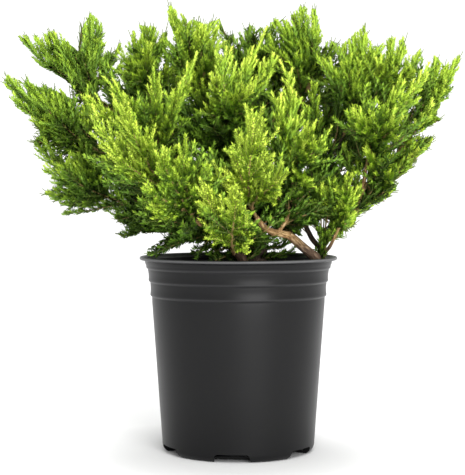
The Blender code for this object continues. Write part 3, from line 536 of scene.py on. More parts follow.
def node(tree, kind, inputs=(), **values):
    """A shader node. inputs are (its socket, a socket or value), values its settings or inputs."""
    made = tree.nodes.new("ShaderNode" + kind)
    for key, value in values.items():
        if hasattr(made, key):
            setattr(made, key, value)
        else:
            made.inputs[key.replace("_", " ")].default_value = value
    for socket, source in inputs:
        if isinstance(source, bpy.types.NodeSocket):
            tree.links.new(source, made.inputs[socket])
        else:
            made.inputs[socket].default_value = source
    return made


def math_of(tree, operation, first, second):
    """The result of a sum on two values or sockets."""
    return node(tree, "Math", [(0, first), (1, second)], operation=operation).outputs[0]


def share_of(tree, value, low, high):
    """How far a value has come from low to high, from 0 to 1."""
    return node(tree, "MapRange", [("Value", value)], From_Min=low, From_Max=high).outputs["Result"]


def blend(tree, share, first, second):
    """The first colour turning into the second as the share goes from 0 to 1."""
    return node(tree, "Mix", [(0, share), (6, first), (7, second)], data_type="RGBA").outputs[2]


def object_place(tree):
    return node(tree, "TexCoord").outputs["Object"]


def ramp(tree, source, stops):
    made = node(tree, "ValToRGB", [("Fac", source)])
    elements = made.color_ramp.elements
    while len(elements) < len(stops):
        elements.new(0.5)
    for element, (place, colour) in zip(elements, stops):
        element.position = place
        element.color = (*colour, 1)
    return made.outputs["Color"]


def patchy_tint():
    """Colour drifts lighter and darker in soft patches, with a finer speckle on top."""
    tree, given, out = new_group(
        "patchy_tint",
        [("Colour", "Color", (0.5, 0.5, 0.5, 1)), ("Patch Scale", "Float", 60.0),
         ("Patch Depth", "Float", 0.25), ("Speckle Scale", "Float", 900.0),
         ("Speckle Depth", "Float", 0.15), ("Warmth", "Float", 0.02)],
        [("Colour", "Color"), ("Mask", "Float")])
    place = object_place(tree)
    patch, speckle = (
        node(tree, "TexNoise", [("Vector", place), ("Scale", given.outputs[scale])], Detail=detail)
        for scale, detail in (("Patch Scale", 3.0), ("Speckle Scale", 2.0)))

    def swing(source, depth):
        centred = math_of(tree, "SUBTRACT", source.outputs["Fac"], 0.5)
        return math_of(tree, "MULTIPLY", math_of(tree, "MULTIPLY", centred, TINT_SWING), given.outputs[depth])

    total = math_of(tree, "ADD", swing(patch, "Patch Depth"), swing(speckle, "Speckle Depth"))
    tinted = node(tree, "HueSaturation", [
        ("Color", given.outputs["Colour"]), ("Value", math_of(tree, "ADD", total, 1.0)),
        ("Hue", math_of(tree, "SUBTRACT", 0.5, swing(patch, "Warmth")))])
    tree.links.new(tinted.outputs["Color"], out.inputs["Colour"])
    tree.links.new(total, out.inputs["Mask"])
    return tree


def new_material(name):
    made = bpy.data.materials.new(name)
    made.use_nodes = True
    return made, made.node_tree, made.node_tree.nodes["Principled BSDF"]


def mottled(tree, shader, tint, colour, **values):
    """Feed the shader a colour mottled by the tint group, whose mask comes back."""
    made = tree.nodes.new("ShaderNodeGroup")
    made.node_tree = tint
    for key, value in values.items():
        made.inputs[key.replace("_", " ")].default_value = value
    if isinstance(colour, bpy.types.NodeSocket):
        tree.links.new(colour, made.inputs["Colour"])
    else:
        made.inputs["Colour"].default_value = (*colour, 1)
    tree.links.new(made.outputs["Colour"], shader.inputs["Base Color"])
    return made.outputs["Mask"]


def set_surface(shader, **values):
    for key, value in values.items():
        shader.inputs[key.replace("_", " ")].default_value = value


def bump(tree, shader, height, strength, distance):
    made = node(tree, "Bump", [("Height", height)], Strength=strength, Distance=distance)
    tree.links.new(made.outputs["Normal"], shader.inputs["Normal"])


def needle_material(name, colour, tint):
    made, tree, shader = new_material(name)
    mottled(tree, shader, tint, colour, Patch_Scale=38.0, Patch_Depth=0.16, Speckle_Scale=700.0,
            Speckle_Depth=0.16, Warmth=0.012)
    set_surface(shader, Roughness=0.6, Specular_IOR_Level=0.25)
    made.diffuse_color = (*colour, 1)
    return made


def mix_material(name, colour, tint):
    made, tree, shader = new_material(name)
    mask = mottled(tree, shader, tint, colour, Patch_Scale=120.0, Patch_Depth=0.5,
                   Speckle_Scale=1500.0, Speckle_Depth=0.4, Warmth=0.01)
    set_surface(shader, Roughness=0.9)
    bump(tree, shader, mask, 0.6, 0.0008)
    return made


def bark_material(name, tones, ripe_tones=None):
    """Thin bark that flakes in strips along the limb, and may ripen to other tones further up."""
    made, tree, shader = new_material(name)
    place = node(tree, "UVMap", uv_map="bark").outputs["UV"]
    strips, flakes = (node(tree, "Mapping", [("Vector", place)], Scale=scale).outputs["Vector"]
                      for scale in (BARK_STRIPS, BARK_FLAKES))
    strips = node(tree, "TexNoise", [("Vector", strips)], Scale=1.0, Detail=5.0, Roughness=0.65)
    flakes = node(tree, "TexVoronoi", [("Vector", flakes)], Scale=1.0, feature="DISTANCE_TO_EDGE")
    mixed = math_of(tree, "ADD", strips.outputs["Fac"], flakes.outputs["Distance"])
    colour = ramp(tree, mixed, tuple(zip(BARK_STOPS, tones)))
    if ripe_tones:
        height = node(tree, "SeparateXYZ", [("Vector", object_place(tree))]).outputs["Z"]
        share = share_of(tree, height, RIPENS[0] * MM, RIPENS[1] * MM)
        colour = blend(tree, share, colour, ramp(tree, mixed, tuple(zip(BARK_STOPS, ripe_tones))))
    tree.links.new(colour, shader.inputs["Base Color"])
    set_surface(shader, Roughness=0.85, Specular_IOR_Level=0.25)
    bump(tree, shader, mixed, 0.8, 0.0008)
    return made


def plastic_material(tint):
    """Satin black moulded plastic with painted highlights along its lip and steps, and faint flow marks."""
    made, tree, shader = new_material("black_plastic")
    place = object_place(tree)
    height = node(tree, "SeparateXYZ", [("Vector", place)])
    low, high = -0.005, POT_HEIGHT * MM
    # Thin pale lines of painted highlight: one just above each step and one under the rim's top.
    lines = [(step + RING_HIGHLIGHT_RISE, RING_PAINTED_HIGHLIGHT) for step, _ in RINGS]
    stops = [(0.0, BLACK)]
    for middle, shine in sorted(lines + [(POT_HEIGHT - LIP_HIGHLIGHT_DROP, LIP_PAINTED_HIGHLIGHT)]):
        stops += [((middle * MM - wide - low) / (high - low), tone)
                  for wide, tone in ((0.0016, BLACK), (0.0, shine), (-0.0012, BLACK))]
    painted_highlights = ramp(tree, share_of(tree, height.outputs["Z"], low, high), stops)
    flat = node(tree, "CombineXYZ", [("X", height.outputs["X"]), ("Y", height.outputs["Y"])])
    out = node(tree, "VectorMath", [(0, flat.outputs["Vector"])], operation="LENGTH").outputs["Value"]
    # The lip's painted highlight keeps to its outer edge, and the steps' keep to the wall below the rim.
    rim = share_of(tree, out, (LIP_RADIUS - LIP_HIGHLIGHT_EDGE[0]) * MM, (LIP_RADIUS - LIP_HIGHLIGHT_EDGE[1]) * MM)
    below = math_of(tree, "LESS_THAN", height.outputs["Z"], (POT_HEIGHT - BELOW_RIM) * MM)
    colour = blend(tree, math_of(tree, "MAXIMUM", rim, below), (*BLACK, 1), painted_highlights)
    mottled(tree, shader, tint, colour, Patch_Scale=14.0, Patch_Depth=0.12, Speckle_Scale=420.0,
            Speckle_Depth=0.08, Warmth=0.0)
    smears = node(tree, "TexNoise", [("Vector", place)], Scale=26.0, Detail=4.0)
    gloss = node(tree, "MapRange", [("Value", smears.outputs["Fac"])],
                 To_Min=PLASTIC_ROUGHNESS[0], To_Max=PLASTIC_ROUGHNESS[1])
    tree.links.new(gloss.outputs["Result"], shader.inputs["Roughness"])
    set_surface(shader, Specular_IOR_Level=0.145)
    grain = node(tree, "TexNoise", [("Vector", place)], Scale=1400.0, Detail=2.0)
    bump(tree, shader, grain.outputs["Fac"], 0.12, 0.0003)
    return made


# ---------------- pot and mix
def lathe(name, profile, sides):
    """A surface turned about Z from (radius, height) points, whose ends on the axis close it."""
    points = np.array(profile, float)
    turns = np.arange(sides) * math.tau / sides
    rim = points[1:-1]
    ring = np.stack([
        rim[:, :1] * np.cos(turns), rim[:, :1] * np.sin(turns),
        np.repeat(rim[:, 1:], sides, axis=1)], axis=2)
    shape = bmesh.new()
    rows = [[shape.verts.new(Vector(p) * MM) for p in row] for row in ring]
    first = shape.verts.new((0, 0, points[0][1] * MM))
    last = shape.verts.new((0, 0, points[-1][1] * MM))
    for i in range(sides):
        j = (i + 1) % sides
        shape.faces.new((first, rows[0][i], rows[0][j]))
        shape.faces.new((last, rows[-1][j], rows[-1][i]))
        for above, below in zip(rows, rows[1:]):
            shape.faces.new((above[j], above[i], below[i], below[j]))
    bmesh.ops.recalc_face_normals(shape, faces=shape.faces)
    mesh = bpy.data.meshes.new(name)
    shape.to_mesh(mesh)
    shape.free()
    return mesh


def arc(middle, radius, start, end, steps):
    turns = [math.radians(start + (end - start) * i / steps) for i in range(steps + 1)]
    return [(middle[0] + radius * math.cos(a), middle[1] + radius * math.sin(a)) for a in turns]


def inner_radius(height):
    share = (height - FLOOR) / (POT_HEIGHT - FLOOR)
    foot = BODY_FOOT_RADIUS - WALL
    return foot + (COLLAR_RADIUS - 2 * WALL - foot) * share


def pot_profile():
    roll = LIP_DROP / 2
    profile = [(0, FLOOR), (inner_radius(12) - FOOT_ROUND, FLOOR)]
    profile += [(inner_radius(h), h) for h in (12, 40, 80, 120, 150, POT_HEIGHT - 3.5)]
    profile += [(LIP_RADIUS - LIP_DROP - 1.6, POT_HEIGHT - 1.6),
                (LIP_RADIUS - LIP_DROP, POT_HEIGHT - 0.3)]
    profile += arc((LIP_RADIUS - roll, POT_HEIGHT - roll), roll, 100, -100, 12)
    profile += [(COLLAR_RADIUS + 1.4, POT_HEIGHT - LIP_DROP - 0.2),
                (COLLAR_RADIUS + 0.3, POT_HEIGHT - LIP_DROP - 0.9)]
    walls = [radius for _, radius in RINGS[1:]] + [BODY_TOP_RADIUS]
    height = POT_HEIGHT - LIP_DROP - 2.4
    for (step, above), below in zip(RINGS, walls):
        start = profile[-1][0]
        for share in (0.2, 0.4, 0.6, 0.8):
            bow = WALL_BOW * math.sin(share * math.pi)
            profile.append((start + (above - start) * share - bow, height + (step + 1.5 - height) * share))
        fall = min(RING_STEP, above - below + RING_STEP / 2)
        profile += [(above, step + 1.5), (above - 0.04, step + 1.0), (above - 0.25 * fall, step + 0.5),
                    (above - 0.75 * fall, step), (above - fall, step - 0.5), (above - fall, step - 1.1)]
        height = step - 1.1
    corner = (BODY_FOOT_RADIUS - FOOT_ROUND, FOOT_ROUND)
    top = BODY_TOP_RADIUS - 0.2
    body = [(top, BODY_TOP)]
    for h in (110, 85, 60, 35, 12):
        share = (h - FOOT_ROUND) / (BODY_TOP - FOOT_ROUND)
        body.append((BODY_FOOT_RADIUS + (top - BODY_FOOT_RADIUS) * share, h))
    return profile + body + arc(corner, FOOT_ROUND, 0, -90, 8) + [(0, 0)]


def notch_block(index):
    mesh = bpy.data.meshes.new(f"notch_{index}")
    shape = bmesh.new()
    bmesh.ops.create_cube(shape, size=1)
    for vertex in shape.verts:
        outward = NOTCH_OUTER_RADIUS if vertex.co.x > 0 else NOTCH_INNER_RADIUS
        top = vertex.co.z > 0
        half_width = NOTCH_WIDTH / 2 * (1 if top else NOTCH_FLARE)
        side = half_width if vertex.co.y > 0 else -half_width
        vertex.co = Vector((outward, side, NOTCH_HEIGHT if top else -NOTCH_HEIGHT)) * MM
    tops = [edge for edge in shape.edges if abs(edge.verts[0].co.y - edge.verts[1].co.y) < 1e-6
            and all(vertex.co.z > 0 for vertex in edge.verts)]
    bmesh.ops.bevel(shape, geom=tops, offset=NOTCH_ROUND * MM, segments=4, affect="EDGES", profile=0.5)
    shape.to_mesh(mesh)
    shape.free()
    block = new_object(f"notch_{index}", mesh)
    block.rotation_euler.z = math.radians(NOTCH_BEARING + index * 360 / NOTCH_COUNT)
    return block


def make_pot(plastic):
    pot = piece("nursery_pot", lathe("nursery_pot", pot_profile(), POT_SIDES), "pot_plastic", "pot")
    blocks = [notch_block(index) for index in range(NOTCH_COUNT)]
    bpy.context.view_layer.update()
    for block in blocks:
        cut = pot.modifiers.new(block.name, "BOOLEAN")
        cut.operation = "DIFFERENCE"
        cut.solver = "EXACT"
        cut.object = block
    graph = bpy.context.evaluated_depsgraph_get()
    mesh = bpy.data.meshes.new_from_object(pot.evaluated_get(graph))
    pot.modifiers.clear()
    pot.data = mesh
    for block in blocks:
        bpy.data.objects.remove(block, do_unlink=True)
    mesh.shade_smooth()
    mesh.set_sharp_from_angle(angle=SHARP)
    mesh.materials.clear()
    mesh.materials.append(plastic)


def turned_by(across, up, angle):
    """Places in a plane, a row of them for each angle, turned by it."""
    cosine, sine = np.cos(angle)[:, None], np.sin(angle)[:, None]
    return across * cosine - up * sine, across * sine + up * cosine


def make_mix(dice, materials):
    """A lumpy bed of composted bark, and loose chips of three colours lying on it."""
    turns = np.arange(BED_SIDES) * math.tau / BED_SIDES
    rows = []
    for radius in np.linspace(0.5, SOIL_RADIUS, BED_RINGS):
        for turn in turns:
            x, y = radius * math.cos(turn), radius * math.sin(turn)
            lump = BED_LUMP * noise.fractal(Vector((x, y, 3.0)) * 0.09, 1.0, 2.0, 4)
            rows.append((x, y, SOIL_TOP - BED_DROP + lump))
    faces = np.array(ring_quads(BED_RINGS, BED_SIDES, closed=True))[:, BED_TURN]
    bed = mesh_of("mix_bed", np.array(rows), np.array(faces), smooth=True)
    bed.materials.append(materials[0])
    piece("mix_bed", bed, "potting_mix", "potting_mix")
    corners = np.array([(x, y, z) for x in (-1, 1) for y in (-1, 1) for z in (-1, 1)], float)
    quads = ((0, 1, 3, 2), (4, 6, 7, 5), (0, 4, 5, 1), (2, 3, 7, 6), (0, 2, 6, 4), (1, 5, 7, 3))
    for (name, (count, longest)), material in zip(CHIPS.items(), materials):
        far = (SOIL_RADIUS - 5) * np.sqrt(dice.random(count))
        turn = dice.random(count) * math.tau
        centre = np.stack([far * np.cos(turn), far * np.sin(turn),
                           SOIL_TOP + dice.uniform(-0.4, 1.6, count)], axis=1)
        size = np.stack([dice.uniform(0.25, 0.5, count) * longest, dice.uniform(0.8, 2.4, count),
                         dice.uniform(0.4, 1.1, count)], axis=1)
        box = corners[None] * size[:, None] * dice.uniform(0.6, 1.1, (count, 8, 3))
        spin = dice.random(count) * math.tau
        tip = dice.normal(0, 0.28, count)
        x, z = turned_by(box[..., 0], box[..., 2], tip)
        x, y = turned_by(x, box[..., 1], spin)
        points = np.stack([x, y, z], axis=2) + centre[:, None]
        mesh = mesh_of(name, points, repeated(quads, count, len(corners)))
        mesh.materials.append(material)
        piece(name, mesh, "potting_mix")


# ---------------- limbs
def smooth_path(way_points, steps):
    """Points along a curve that passes through every way point."""
    points = [Vector(point) for point in way_points]
    ends = [points[0] * 2 - points[1]] + points + [points[-1] * 2 - points[-2]]
    path = [points[0]]
    for before, start, end, after in zip(ends, ends[1:], ends[2:], ends[3:]):
        leave = start + (end - before) / 6
        arrive = end - (after - start) / 6
        path += interpolate_bezier(start, leave, arrive, end, steps + 1)[1:]
    return path


def along(points, shares):
    """Places at these shares of a path's length, and the headings there."""
    points = np.asarray(points, float)
    steps = np.linalg.norm(np.diff(points, axis=0), axis=1)
    reached = np.concatenate([[0], np.cumsum(steps)])
    want = np.clip(np.atleast_1d(shares), 0, 1) * reached[-1]
    place = np.stack([np.interp(want, reached, points[:, k]) for k in range(3)], axis=1)
    segment = np.clip(np.searchsorted(reached, want, side="right") - 1, 0, len(steps) - 1)
    heading = unit(np.diff(points, axis=0))[segment]
    return place, heading


def at(points, share):
    """The place at one share of a path's length, and the heading there."""
    place, heading = along(points, share)
    return place[0], heading[0]


def back_boughs():
    made = {}
    bend_x, bend_y, extra_y, drop = BACK_BOUGH_BEND
    for tier, (share, reach, height, _, _) in BACK_TIERS.items():
        for side, (bearing, further) in BACK_SIDES.items():
            turn = math.radians(bearing)
            root = (reach * math.cos(turn), reach * math.sin(turn), height)
            middle = (root[0] * bend_x, root[1] * bend_y + extra_y, height + drop)
            bough = ("back_stem", share + further, (middle, root), *BACK_BOUGH_RADII)
            made[f"back_{side}_{tier}_bough"] = bough
    return made


def back_masses():
    made = {}
    for tier, (_, _, _, reach, height) in BACK_TIERS.items():
        for side, (bearing, _) in BACK_SIDES.items():
            plumes = []
            for place, lift in enumerate(BACK_LIFTS):
                turn = math.radians(bearing + (place - 1) * BACK_FAN)
                tip = (reach * math.cos(turn), reach * math.sin(turn), height + lift)
                plumes.append((*tip, BACK_HALF_WIDTH))
            made[f"back_{side}_{tier}_mass"] = (f"back_{side}_{tier}_bough", BACK_LIGHTNESS, plumes)
    return made


def limb_paths():
    """name: (path, radius at the foot, radius at the tip) of every stem and bough."""
    paths = {}
    for name, (way_points, foot, tip) in STEMS.items():
        paths[name] = (np.array(smooth_path(way_points, 14)), foot, tip)
    for name, (parent, share, way_points, foot, tip) in (BOUGHS | back_boughs()).items():
        start, _ = at(paths[parent][0], share)
        paths[name] = (np.array(smooth_path((start, *way_points), 16)), foot, tip)
    return paths


def bark_tube(path, foot, tip, sides, flared, depth):
    """A limb's skin with ridges and knobs: points, faces and (round, along) places in millimetres."""
    headings = unit(np.gradient(path, axis=0))
    steps = np.concatenate([[0], np.cumsum(np.linalg.norm(np.diff(path, axis=0), axis=1))])
    side = unit(np.cross(headings[0], (0.3, 1.0, 0.2)))
    points, places = [], []
    for i, (centre, heading) in enumerate(zip(path, headings)):
        side = unit(side - heading * side.dot(heading))
        rise = np.cross(heading, side)
        share = steps[i] / steps[-1]
        radius = foot + (tip - foot) * share
        if flared:
            radius *= 1 + FLARE * max(0, 1 - (centre[2] - STEM_FOOT) / FLARE_HEIGHT) ** 2
        for corner in range(sides + 1):
            turn = math.tau * corner / sides
            out = side * math.cos(turn) + rise * math.sin(turn)
            ridge = noise.fractal(Vector((out[0] * 2.6, out[1] * 2.6, out[2] * 2.6 + steps[i] * 0.06)),
                                  1.0, 2.0, 3)
            knob = max(0.0, noise.noise(Vector((*(centre * 0.11 + out * 0.8),)))) ** 2
            points.append(centre + out * radius * (1 + depth * ridge + depth * 2.2 * knob))
            places.append((math.tau * radius * corner / sides, steps[i]))
    return points, ring_quads(len(path), sides, closed=False), places


def make_limbs(paths, barks):
    for name, material, chosen in (
            ("golden_limbs", barks[0], GOLDEN_LIMBS), ("brown_limbs", barks[1], BROWN_LIMBS),
            ("shaded_limbs", barks[2], [n for n in paths if n not in GOLDEN_LIMBS + BROWN_LIMBS])):
        tubes_made = []
        for limb in chosen:
            path, foot, tip = paths[limb]
            thick = limb in STEMS or limb == "right_low_arm"
            sides, depth = THICK_BARK if thick else THIN_BARK
            tubes_made.append(bark_tube(path, foot, tip, sides, limb in STEMS, depth))
        points, faces = joined([made[:2] for made in tubes_made])
        places = np.concatenate([made[2] for made in tubes_made]).astype(np.float32)
        mesh = mesh_of(name, points, faces, smooth=True)
        layer = mesh.uv_layers.new(name="bark")
        layer.data.foreach_set("uv", places[faces.ravel()].ravel())
        mesh.materials.append(material)
        piece(name, mesh, "bark", *chosen)


# ---------------- plumes
def curve_of(root, leave, arrive, tip, count=40):
    t = np.linspace(0, 1, count)[:, None]
    return ((1 - t) ** 3 * root + 3 * (1 - t) ** 2 * t * leave + 3 * (1 - t) * t ** 2 * arrive
            + t ** 3 * tip)


def plume_path(root, heading, tip):
    span = np.linalg.norm(tip - root)
    arrive = unit(unit(tip - root) + UP * TIP_RISE)
    return curve_of(root, root + heading * span * HEADING_HOLD, tip - arrive * span * TIP_HOLD, tip)


def plume_width(share):
    """A plume's half width along its axis, against its widest."""
    share = np.clip(share, 0.02, 1.0)
    return 1.6 * share ** 0.46 * (1 - share) ** 0.28


def seen_from_in_front(points):
    """Where the lines of sight through these places cross y = 0, as x and height."""
    scale = EYE[1] / (EYE[1] - points[..., 1])
    return EYE[0] + (points[..., 0] - EYE[0]) * scale, EYE[2] + (points[..., 2] - EYE[2]) * scale


def within_edge(points, slack):
    """True for places inside the crown's edge by at least so much."""
    x, z = seen_from_in_front(points)
    inward = 1 - slack / np.maximum(np.hypot(x, z - CROWN_HEART[2]), 1.0)
    x, z = x * inward, CROWN_HEART[2] + (z - CROWN_HEART[2]) * inward
    edge = np.array(CROWN_EDGE, float)
    within = np.zeros(x.shape, bool)
    for (x0, z0), (x1, z1) in zip(edge, np.roll(edge, -1, axis=0)):
        if z0 != z1:
            crosses = (z0 > z) != (z1 > z)
            within ^= crosses & (x < x0 + (z - z0) * (x1 - x0) / (z1 - z0))
    return within


def off_the_rim(points):
    """False for places in the pot's rim or hanging down before it."""
    out = np.hypot(points[..., 0], points[..., 1])
    in_rim = (out > RIM_BAND[0]) & (out < RIM_BAND[1]) & (points[..., 2] < RIM_CLEAR)
    return ~in_rim & ~((points[..., 1] < BEFORE_POT) & (points[..., 2] < BEFORE_POT_CLEAR))


def in_the_clear(points, slack):
    """False for places past the crown's edge, in a gap of daylight, before the arm, in the pot or mix."""
    x, z = seen_from_in_front(points)
    clear = within_edge(points, slack) & off_the_rim(points)
    for gap_x, gap_z, radius in DAYLIGHT:
        clear &= np.hypot(x - gap_x, z - gap_z) > radius
    for arm_x, arm_z, radius in ARM_SHOWS:
        clear &= (np.hypot(x - arm_x, z - arm_z) > radius) | (points[..., 1] > ARM_SHOWS_FROM)
    out = np.hypot(points[..., 0], points[..., 1])
    return clear & ~((out < RIM_BAND[1]) & (points[..., 2] < MIX_CLEAR))


def length_of(path):
    return np.linalg.norm(np.diff(path, axis=0), axis=1).sum()


def kept_axis(axis, kind):
    """A plume's axis as far as it stays inside the crown's edge, or None where little is left."""
    within = within_edge(axis, AXIS_SLACK) & off_the_rim(axis)
    last = len(axis) if within.all() else int(np.argmin(within))
    if last < LEAST_LEFT[kind] * len(axis) or last < 4:
        return None
    kept = axis[:last]
    trim = min(TIP_TRIM / length_of(kept), TIP_TRIM_MOST)
    return along(kept, np.linspace(0, 1 - trim, len(axis)))[0]


def own_plumes(paths):
    """The masses' own plumes: the first leaves its bough's tip, the others its axis near the foot."""
    plumes = []
    for bough, light, tips in (MASSES | back_masses()).values():
        path = paths[bough][0]
        heading = unit(path[-1] - path[-2])
        first = None
        for place, (x, y, z, half_width) in enumerate(tips):
            root, ahead = path[-1], heading
            if first is not None:
                root, ahead = at(first, FIRST_KNUCKLE + KNUCKLE_STEP * place)
            axis = plume_path(root, ahead, np.array((x, y, z), float))
            first = axis if first is None else first
            kept = kept_axis(axis, "own")
            if kept is not None:
                plumes.append((kept, half_width * PLUME_BREADTH, light, 0))
    return plumes


def placed_sprays(paths):
    made = []
    for limb, sprays in PLACED_SPRAYS:
        for share, x, y, z, half_width, light in sprays:
            root, ahead = at(paths[limb][0], share)
            tip = np.array((x, y, z), float)
            kept = kept_axis(plume_path(root, unit(ahead + unit(tip - root)), tip), "placed")
            if kept is not None:
                made.append((kept, half_width, light, 1))
    return made


def side_plumes(plumes, dice):
    made = []
    for number, (axis, half_width, light, _) in enumerate(plumes):
        length = length_of(axis)
        for turn, (share, rest) in enumerate(SIDE_PLUMES):
            root, ahead = at(axis, share + dice.uniform(-SIDE_PLUME_SHIFT, SIDE_PLUME_SHIFT))
            outward = unit(root - CROWN_HEART)
            across = unit(np.cross(ahead, outward)) * (1 if (turn + number) % 2 else -1)
            away = unit(across + outward * dice.uniform(-0.45, 0.6) + UP * dice.uniform(-0.25, 0.3))
            spread = dice.uniform(-SIDE_PLUME_ANGLE_SPREAD, SIDE_PLUME_ANGLE_SPREAD)
            angle = math.radians(SIDE_PLUME_ANGLE + spread)
            heading = unit(turned_to(ahead, away, angle))
            reach = length * (1 - share) * rest
            tip = root + heading * reach + UP * reach * SIDE_PLUME_RISE
            kept = kept_axis(plume_path(root, ahead, tip), "side")
            if kept is not None:
                made.append((kept, max(half_width * SIDE_PLUME_WIDTH, SIDE_PLUME_LEAST),
                             light - SIDE_PLUME_DARKER + dice.normal(0, 0.04), 1))
    return made


def shaded_plumes(paths, plumes, dice):
    """Short shaded plumes all along the boughs and upper stems, and behind the plumes' own axes."""
    made = []
    for axis, half_width, light, _ in plumes:
        for share, rest in SHADED_BEHIND:
            root, ahead = at(axis, share + dice.uniform(0, 0.08))
            inward = unit(CROWN_HEART - root) + unit(dice.normal(0, 1, 3)) * 0.7
            away = unit(inward - ahead * ahead.dot(inward))
            angle = math.radians(dice.uniform(*SHADED_BEHIND_ANGLES))
            heading = unit(turned_to(ahead, away, angle))
            reach = length_of(axis) * (1 - share) * rest
            kept = kept_axis(plume_path(root, ahead, root + heading * reach), "shaded")
            if kept is not None:
                shaded = min(light - SHADED_BEHIND_DARKER, SHADED_BEHIND_LIGHT)
                made.append((kept, SHADED_WIDTH, shaded, 2))
    for name, (path, _, _) in paths.items():
        if name in BARE_LIMBS:
            continue
        first = SHADED_FIRST.get(name, 0.15)
        count = max(2, round(length_of(path) * (1 - first) / SHADED_PITCH))
        for i in range(count):
            share = first + (1 - first) * (i + dice.uniform(0.1, 0.9)) / count
            root, ahead = at(path, share)
            outward = unit(root - CROWN_HEART + UP * 30)
            turn = GOLDEN_ANGLE * i + dice.uniform(0, 1)
            side = unit(np.cross(ahead, outward))
            rise = np.cross(side, ahead)
            away = unit(turned_to(side, rise, turn) + outward * 0.6)
            angle = math.radians(dice.uniform(*SHADED_ANGLES))
            heading = unit(turned_to(ahead, away, angle) + UP * 0.15)
            reach = dice.uniform(*SHADED_REACH)
            kept = kept_axis(plume_path(root, unit(ahead + heading), root + heading * reach), "shaded")
            if kept is not None:
                made.append((kept, SHADED_WIDTH, SHADED_LIGHT, 2))
    return made


def filling_plumes(paths, plumes, dice):
    """Plumes spaced about the crown's heart wherever the masses' own leave its back and top open."""
    tips = np.array([axis[-1] for axis, _, _, rank in plumes if rank == 0]) - CROWN_HEART
    far = np.linalg.norm(tips, axis=1)
    limbs = [along(path, np.linspace(0.3, 1, 24)) for name, (path, _, _) in paths.items()
             if name not in BARE_LIMBS]
    places = np.concatenate([place for place, _ in limbs])
    headings = np.concatenate([heading for _, heading in limbs])
    rise = 1 - FILL_DOWN_TO * (np.arange(FILL_COUNT) + 0.5) / FILL_COUNT
    level = np.sqrt(1 - rise ** 2)
    turn = GOLDEN_ANGLE * np.arange(FILL_COUNT)
    ways = np.stack([level * np.cos(turn), level * np.sin(turn), rise], axis=1)
    made = []
    for way in ways:
        apart = np.arccos(np.clip(unit(tips) @ way, -1, 1))
        in_front = way[1] < FILL_FRONT
        if apart.min() < math.radians(FILL_SPACING) and not in_front:
            continue
        weight = np.exp(-(apart / FILL_BLUR) ** 2)
        reach = (weight * far).sum() / weight.sum() * dice.uniform(
            *(FILL_REACH_IN_FRONT if in_front else FILL_REACH))
        tip = CROWN_HEART + way * reach
        gap = tip - places
        span = np.linalg.norm(gap, axis=1)
        cost = (span + FILL_BEND_COST * (1 - unit(gap) @ way)
                + FILL_SHORT_COST * np.maximum(0, FILL_LEAST - span))
        nearest = int(np.argmin(cost))
        heading = unit(headings[nearest] + FILL_AIM * unit(gap[nearest]))
        kept = kept_axis(plume_path(places[nearest], heading, tip), "filling")
        if kept is not None:
            light = FILL_LIGHT_IN_FRONT if in_front else FILL_LIGHT
            made.append((kept, FILL_WIDTH, light + dice.normal(0, 0.05), 3))
    return made


def grown_shoots(plume, dice):
    """A plume's side shoots, as arrays, and the way it faces."""
    axis, half_width, light, rank = plume
    length = length_of(axis)
    count = max(5, int(length * (SHOOT_LAST - SHOOT_FIRST) / RANKS[rank][0]))
    order = np.arange(count)
    share = (order + dice.uniform(0.1, 0.9, count)) / count
    share = SHOOT_FIRST + (1 - (1 - share) ** SHOOT_CROWDING) * (SHOOT_LAST - SHOOT_FIRST)
    root, ahead = along(axis, share)
    facing = unit(at(axis, 0.7)[0] - CROWN_HEART)
    side = unit(np.cross(facing, ahead))
    rise = np.cross(ahead, side)
    turn = GOLDEN_ANGLE * order + dice.normal(0, 0.25, count)
    radial = side * np.cos(turn)[:, None] + rise * (np.sin(turn) * SHOOT_FLATNESS)[:, None]
    depth = np.linalg.norm(radial, axis=1)
    radial = unit(radial)
    spread, least, most = SHOOT_ANGLE_SPREAD
    angle = np.radians(between(SHOOT_ANGLES, share) + np.clip(dice.normal(0, spread, count), least, most))
    lands = np.clip(share + 0.7 * half_width / np.tan(angle) / length, 0, 0.97)
    long = half_width * plume_width(lands) * depth / np.sin(angle) * dice.uniform(*SHOOT_LENGTHS, count)
    long = np.maximum(np.where(order % 4 == 0, long * SHOOT_STRONG, long), SHOOT_LEAST)
    heading = turned_to(ahead, radial, angle)
    forward, upward, outward, varies = SHOOT_BEND
    bend = ahead * forward + UP * upward + radial * outward + dice.normal(0, varies, (count, 3))
    slack = dice.uniform(*EDGE_SLACK, count)

    def shoot_ways(length_now):
        return (root + (heading * 0.5 + bend * 0.25) * length_now[:, None],
                root + (heading + bend) * length_now[:, None])

    reach = np.zeros(count)
    for part in SHOOT_PARTS:
        middle, end = shoot_ways(long * part)
        reach = np.where(in_the_clear(middle, slack) & in_the_clear(end, slack), part, reach)
    long = long * np.maximum(reach, 0.1)
    middle, end = shoot_ways(long)
    # Shoots facing up and out of the crown get painted light.
    toward_tip, from_share, toward_up, toward_out, varies = SHOOT_LIGHT
    shoot_light = (light + toward_tip * (share - from_share) + toward_up * radial[:, 2]
                   + toward_out * radial @ facing + dice.normal(0, varies, count))
    return {"clear": reach > 0, "root": root, "middle": middle, "end": end, "heading": heading,
            "bend": bend, "long": long, "side": side, "rise": rise, "radial": radial,
            "light": shoot_light}, facing


